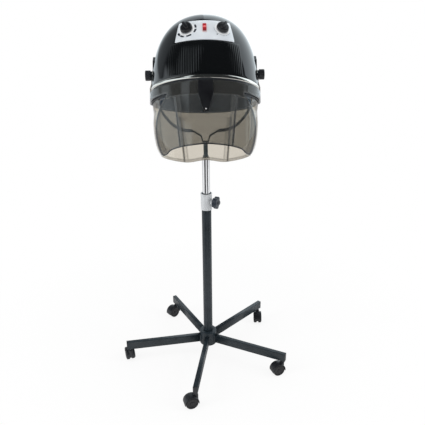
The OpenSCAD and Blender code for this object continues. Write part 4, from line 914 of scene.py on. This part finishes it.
def rim_finder(sheet, below):
    """Tells how far a point is, seen from the front, from the sheet's rim below a height."""
    bmesh.ops.remove_doubles(sheet, verts=sheet.verts, dist=MERGE)
    rim = [v.co for v in sheet.verts if v.is_boundary and v.co.z < below]
    tree = KDTree(len(rim))
    for i, co in enumerate(rim):
        tree.insert((co.x, 0, co.z), i)
    tree.balance()
    return lambda co: tree.find((co.x, 0, co.z))[2]


def off_visor_fold(x, z):
    return abs(x) - fold_line(VISOR_R, (z - VISOR_TOP) / (VISOR_FOLD_LOW - VISOR_TOP))


def ear_half(z):
    """Half width of an ear strap, from the tilt axis down to the wing."""
    return 9 + 3 * (PIVOT_RISE - z) / (PIVOT_RISE - WING_LOW)


def visor_front(u, v):
    """The front shell: level rows down to the corner, then rows that follow side and rim."""
    s, k, corner = abs(2 * u - 1), round(v * VISOR_ROWS), SIDE[0]
    if k <= FLAT_ROWS:
        x, z = WING_X * s, LEVELS[k]
    else:
        t = (k - FLAT_ROWS - 1) / (VISOR_ROWS - FLAT_ROWS - 1)
        straight = Vector((WING_X * s, corner.y)).lerp(point_along(RIM, s), t)
        x, z = straight + (point_along(SIDE, t) - corner.lerp(RIM[-1], t)) * s ** 1.5
    r = visor_r(z) + fold(off_visor_fold(x, z)) * clamp((-40 - z) / 6)
    return (math.copysign(x, u - 0.5), -math.sqrt(r * r - x * x), z)


def visor_ear(hand):
    """A wing beside the front shell, its strap up to the tilt axis and the strap's eye."""
    def wing(u, v):
        z = LEVELS[round(v * FLAT_ROWS)]
        r = visor_r(z)
        first, last = math.asin(WING_X / r), math.acos(ear_half(z) / r)
        x, y, z = round_hood(r, first + (last - first) * u, z)
        return (hand * x, y, z)

    def strap(u, v):
        across, row = 2 * u - 1, round(v * (EAR_ROWS + FLAT_ROWS))
        around = math.radians(37.5 * across)
        top = PIVOT_RISE - EAR_EYE * math.cos(around)
        z = LEVELS[row - EAR_ROWS] if row > EAR_ROWS else top + (VISOR_TOP - top) * row / EAR_ROWS
        round_end = max(0.0, 1 - row / 8)
        y = EAR_EYE * math.sin(around) * round_end + ear_half(z) * across * (1 - round_end)
        return (hand * math.sqrt(visor_r(z) ** 2 - y * y), y, z)

    ear = add(sheet_of(30, FLAT_ROWS, wing), sheet_of(EAR_COLUMNS, EAR_ROWS + FLAT_ROWS, strap))
    eye = bmesh.new()
    bmesh.ops.create_circle(eye, cap_ends=False, radius=PIVOT_HOLE, segments=48)
    pulled = bmesh.ops.extrude_edge_only(eye, edges=eye.edges[:])
    for v in (g for g in pulled["geom"] if isinstance(g, bmesh.types.BMVert)):
        v.co *= EAR_EYE / PIVOT_HOLE
    for v in eye.verts:
        y, z = v.co.x, PIVOT_RISE + v.co.y
        v.co = (hand * math.sqrt(visor_r(z) ** 2 - y * y), y, z)
    return add(ear, eye)


def visor():
    shell = sheet_of(240, VISOR_ROWS, visor_front)
    for hand in (-1, 1):
        add(shell, visor_ear(hand))
    to_rim = rim_finder(shell, VISOR_TOP - 1)

    # Painted shade: a dark band along the side and lower edges, partly the rolled rim's thicker
    # plastic and partly painted shade along it, and dark lines at the folds.
    def shade(v):
        x, _, z = v.co
        edge = clamp((4.4 - to_rim(v.co)) / 2.4)
        return max(edge, painted_fold_shade(off_visor_fold(x, z)) if z < -42 and abs(x) < WING_X else 0.0)

    piece(shell, "tinted_visor", VISOR_TINT, "visor", ["visor"], "visor_tint", HOOD, 60,
          thick=SHEET_T, shade=shade)


HANDLE_LEN, HANDLE_W, HANDLE_T, HANDLE_TOP = 81.0, 38.5, 5.0, VISOR_TOP - 0.4
HANDLE_NECK, HANDLE_WIDE_LEN, HANDLE_TAPER_LEN = 17.0, 34, 38
HOLLOW_AT, HOLLOW_H, HOLLOW_LEN, HOLLOW_HALF = 58, 0.9, 12, 10
GRIP_SCREW_Z, GRIP_HIGHLIGHT_DOWN = -48, 75


def handle_half(d):
    """Half width of the grip at a distance down from its top."""
    wide, narrow = HANDLE_W / 2, HANDLE_NECK / 2
    taper = max(0.0, (d - HANDLE_WIDE_LEN) / HANDLE_TAPER_LEN)
    return wide + (narrow - wide) * taper


def visor_handle():
    half = HANDLE_W / 2
    right = [(half - 4, 0.0), (half - 2, 0.6), (half - 0.6, 2.0), (half, 4.5)]
    right += [(handle_half(d), d)
              for d in (8, 12, 16, 20, 24, 28, 31, 33, 34.5, 37, 41, 46, 51, 56, 61, 66, 70)]
    right += [(8.0, 73), (7.2, 76), (5.6, 78.6), (3.0, 80.4), (0, HANDLE_LEN)]
    outline = right + [(-x, d) for x, d in right[-2::-1]]
    grip = slab([(x, -d) for x, d in outline], HANDLE_T)
    bmesh.ops.triangulate(grip, faces=[f for f in grip.faces if len(f.verts) > 8])
    bmesh.ops.subdivide_edges(grip, edges=[e for e in grip.edges if e.calc_length() > 12], cuts=3,
                              use_grid_fill=True)
    soften(grip, 1.4, 50, 3)
    for v in grip.verts:
        x, d, lift = v.co.x, -v.co.y, v.co.z
        if lift > 2:  # a thumb hollow in the outer face
            lift -= HOLLOW_H * hump(d - HOLLOW_AT, HOLLOW_LEN) * max(0.0, 1 - (x / HOLLOW_HALF) ** 2)
        z = HANDLE_TOP - d
        r = visor_r(z) + 0.05 + lift
        v.co = (x, -math.sqrt(r * r - x * x), z)
    piece(grip, "visor_grip", GRIP_BLACK, "visor", ["visor_handle"], "black_plastic", HOOD, 40)
    screws = bmesh.new()
    inner = visor_r(GRIP_SCREW_Z) - SHEET_T
    for x in (-HANDLE_W / 4, HANDLE_W / 4):
        head = turned([(0, 0), (3, 0), (3, 0.6), (2, 1.5), (0, 1.6)], 32, 0.2, 40)
        seat = Matrix.Translation((x, 0.1 - math.sqrt(inner ** 2 - x * x), GRIP_SCREW_Z))
        add(screws, head, seat @ Matrix.Rotation(-math.pi / 2, 4, "X"))
    piece(screws, "grip_screws", ZINC, "visor", ["handle_screws"], "socket_steel", HOOD)
    # a tiny pale dome near the grip's tip: a painted highlight
    z = HANDLE_TOP - GRIP_HIGHLIGHT_DOWN
    highlight_dot = turned([(0, 0), (1.6, 0), (1.6, 0.5), (1.1, 1.0), (0, 1.2)], 32)
    piece(highlight_dot, "grip_tip_highlight", PALE_NYLON, "visor", (), "pale_bush",
          HOOD @ Matrix.Translation((0, 0.5 - HANDLE_T - visor_r(z), z)) @ UPRIGHT)


def tilt_knobs():
    cap_t, flutes, flute_depth = 15, 12, 0.9
    for side, word in ((-1, "left"), (1, "right")):
        cap = slab(lobed(144, lambda a: 14.5 - flute_depth * max(0.0, -math.cos(flutes * a)) ** 0.7),
                   cap_t)
        soften(cap, 1.8, 50, 4, lambda e: min(v.co.z for v in e.verts) > cap_t - 1)
        knob = add(bmesh.new(), cap, raised(KNOB_IN))
        add(knob, turned(sleeve(0, 4, 122.5, KNOB_IN + 1), 32))
        place = HOOD @ raised(PIVOT_RISE) @ Matrix.Rotation(math.radians(90 * side), 4, "Y")
        piece(knob, f"tilt_lock_knob_{word}", KNOB_BLACK, f"tilt_knob_{word}",
              [f"tilt_knob_{word}"], "black_plastic", place)


# ---------------------------------------------------------------- nodes kept from the frame

KEPT_NODES = {
    "air_bowl": BOWL_BLUE, "caster_sockets": ZINC, "column_bolt": ZINC,
    "tube_foot_guide": KNOB_BLACK, "timer": PALE_NYLON, "heat_switch": PALE_NYLON,
    "cord_gland": KNOB_BLACK, "baffle_plate": ZINC, "motor": ZINC, "motor_mount": ZINC,
    "heater": HEATER_WIRE, "bowl_screws": ZINC, "fan": KNOB_BLACK,
}


def finish_kept_nodes():
    for name, finish in KEPT_NODES.items():
        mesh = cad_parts[name].data
        mesh.materials.clear()
        mesh.materials.append(finish.material)


# ---------------------------------------------------------------- studio

PHOTO_WIDE, PHOTO_FOCUS = 425, 528.73  # pixels
EYE = (-12.4, -1636.3, 1227.6)
EYE_YAW, EYE_PITCH, EYE_ROLL = -1.1283, 22.214, -0.5285  # degrees


def camera():
    lens = bpy.data.cameras.new("camera")
    lens.sensor_fit, lens.sensor_width = "HORIZONTAL", 36.0
    lens.lens = lens.sensor_width * PHOTO_FOCUS / PHOTO_WIDE
    lens.clip_start, lens.clip_end = 0.05, 60
    made = bpy.data.objects.new("camera", lens)
    bpy.context.collection.objects.link(made)
    yaw, pitch, roll = (math.radians(a) for a in (EYE_YAW, EYE_PITCH, EYE_ROLL))
    made.matrix_world = (Matrix.Translation(Vector(EYE) * MM) @ Matrix.Rotation(yaw, 4, "Z")
                         @ Matrix.Rotation(math.pi / 2 - pitch, 4, "X")
                         @ Matrix.Rotation(roll, 4, "Z"))
    bpy.context.scene.camera = made


def stage_plane(name, wide, high, finish, place=Matrix.Identity(4)):
    """A flat screen or floor, with sizes in metres."""
    bm = bmesh.new()
    bmesh.ops.create_grid(bm, x_segments=2, y_segments=2, size=0.5,
                          matrix=place @ Matrix.Diagonal((wide, high, 1, 1)))
    mesh = bpy.data.meshes.new(name)
    bm.to_mesh(mesh)
    bm.free()
    mesh.materials.append(finish.material)
    made = bpy.data.objects.new(name, mesh)
    bpy.context.collection.objects.link(made)
    return made


def floor_and_flags():
    # pale floor that keeps its shadow near the stand and runs out to plain white
    f = Finish("floor_paint", Base_Color=(0.9, 0.9, 0.9), Roughness=0.75, Specular_IOR_Level=0.1)
    glow = f.tree.nodes.new("ShaderNodeEmission")
    glow.inputs["Strength"].default_value = 1.0
    away = f.node("ShaderNodeVectorMath", {"operation": "LENGTH"}, {0: f.place()}, output="Value")
    seen = f.node("ShaderNodeLightPath", output="Is Camera Ray")
    f.end_with(f.mixed(seen * (0.87 + 0.13 * away.step(0.45, 1.1)), f.shader, glow))
    stage_plane("floor", 12, 12, f)
    # two dark flags that only the bright metal mirrors
    away_m, high_m, middle_m = 0.8, 0.6, 0.31
    cloth = Finish("flag_cloth", Base_Color=(0.02, 0.02, 0.02), Roughness=0.9)
    for name, turned_by, half_turn in (("flag_left", -32, 21), ("flag_right", 47.5, 15.5)):
        wide = 2 * away_m * math.tan(math.radians(half_turn))
        flag = stage_plane(name, wide, high_m, cloth,
                           Matrix.Rotation(math.radians(turned_by), 4, "Z")
                           @ Matrix.Translation((0, -away_m, middle_m)) @ UPRIGHT)
        flag.visible_camera = flag.visible_diffuse = False
        flag.visible_shadow = flag.visible_transmission = False


def surroundings():
    """White where the camera looks and light all round; gloss mirrors a studio of its own."""
    world = bpy.data.worlds.new("studio")
    bpy.context.scene.world = world
    world.use_nodes = True
    sky = Wiring(world.node_tree)
    way = sky.node("ShaderNodeTexCoord", output="Generated")
    split = sky.node("ShaderNodeSeparateXYZ", None, {0: way})
    x, y, z = (Amount(sky, split.socket.node.outputs[k]) for k in range(3))
    ahead, rise = x.angle_over(0 - y), z.angle()  # degrees from the front, and from level
    # white walls on the right and low on the left, a grey one behind, dark in front and above
    right = 1.35 * ahead.step(101, 104) * (1 - rise.step(48, 56))
    left_start = ahead.step(-112, -100).most(1 - rise.step(3, 9))
    left = (1 - ahead.step(-34, -26)) * (1 - rise.step(16, 22)) * left_start
    behind = ((0.25 + 0.6 * (1 - ahead.step(-170, -140))) * (1 - ahead.step(-116, -102))
              * (1 - rise.step(45, 55)))
    screen = 0.8 * ahead.between(-58, -39, 1.5) * rise.between(28, 60, 3)
    edge = 0.5 * ahead.between(91, 98, 1.5) * (1 - rise.step(28, 36))
    path = sky.node("ShaderNodeLightPath", output="Is Camera Ray")
    glossy, diffuse, through = (Amount(sky, path.socket.node.outputs[f"Is {kind} Ray"])
                                for kind in ("Glossy", "Diffuse", "Transmission"))
    mirrored = (0.03 + right.most(left).most(behind).most(screen + edge)) * glossy
    back = sky.tree.nodes["Background"]
    sky.feed(back.inputs["Color"], sky.colour(glossy, (1, 1, 1), (0.86, 0.95, 1.0)))
    sky.feed(back.inputs["Strength"], path.most(through).most(mirrored).most(0.55 * diffuse))


def softbox(name, spot_at, aim, wide, high, watts):
    lamp = bpy.data.lights.new(name, "AREA")
    lamp.shape, lamp.size, lamp.size_y, lamp.energy = "RECTANGLE", wide, high, watts
    box = bpy.data.objects.new(name, lamp)
    bpy.context.collection.objects.link(box)
    box.location = spot_at
    box.rotation_euler = (Vector(aim) - Vector(spot_at)).to_track_quat("-Z", "Y").to_euler()
    box.visible_glossy = False


def studio():
    camera()
    floor_and_flags()
    surroundings()
    softbox("left_box", (-2.3, -1.0, 1.7), (0, 0, 0.8), 0.9, 2.0, 26)
    softbox("right_box", (2.3, -0.6, 1.6), (0, 0, 0.8), 0.9, 2.0, 24)
    softbox("top_box", (0, -0.4, 3.2), (0, -0.1, 0.6), 2.2, 1.6, 30)
    bpy.context.scene.view_settings.view_transform = "Standard"


for make in (studio, base, casters, column, yoke, dome, front_ribs, trim_ring, ribbed_band,
             rear_skirt, pivot_cheeks, control_panel, dial_knobs, rocker, visor, visor_handle,
             tilt_knobs, finish_kept_nodes):
    make()
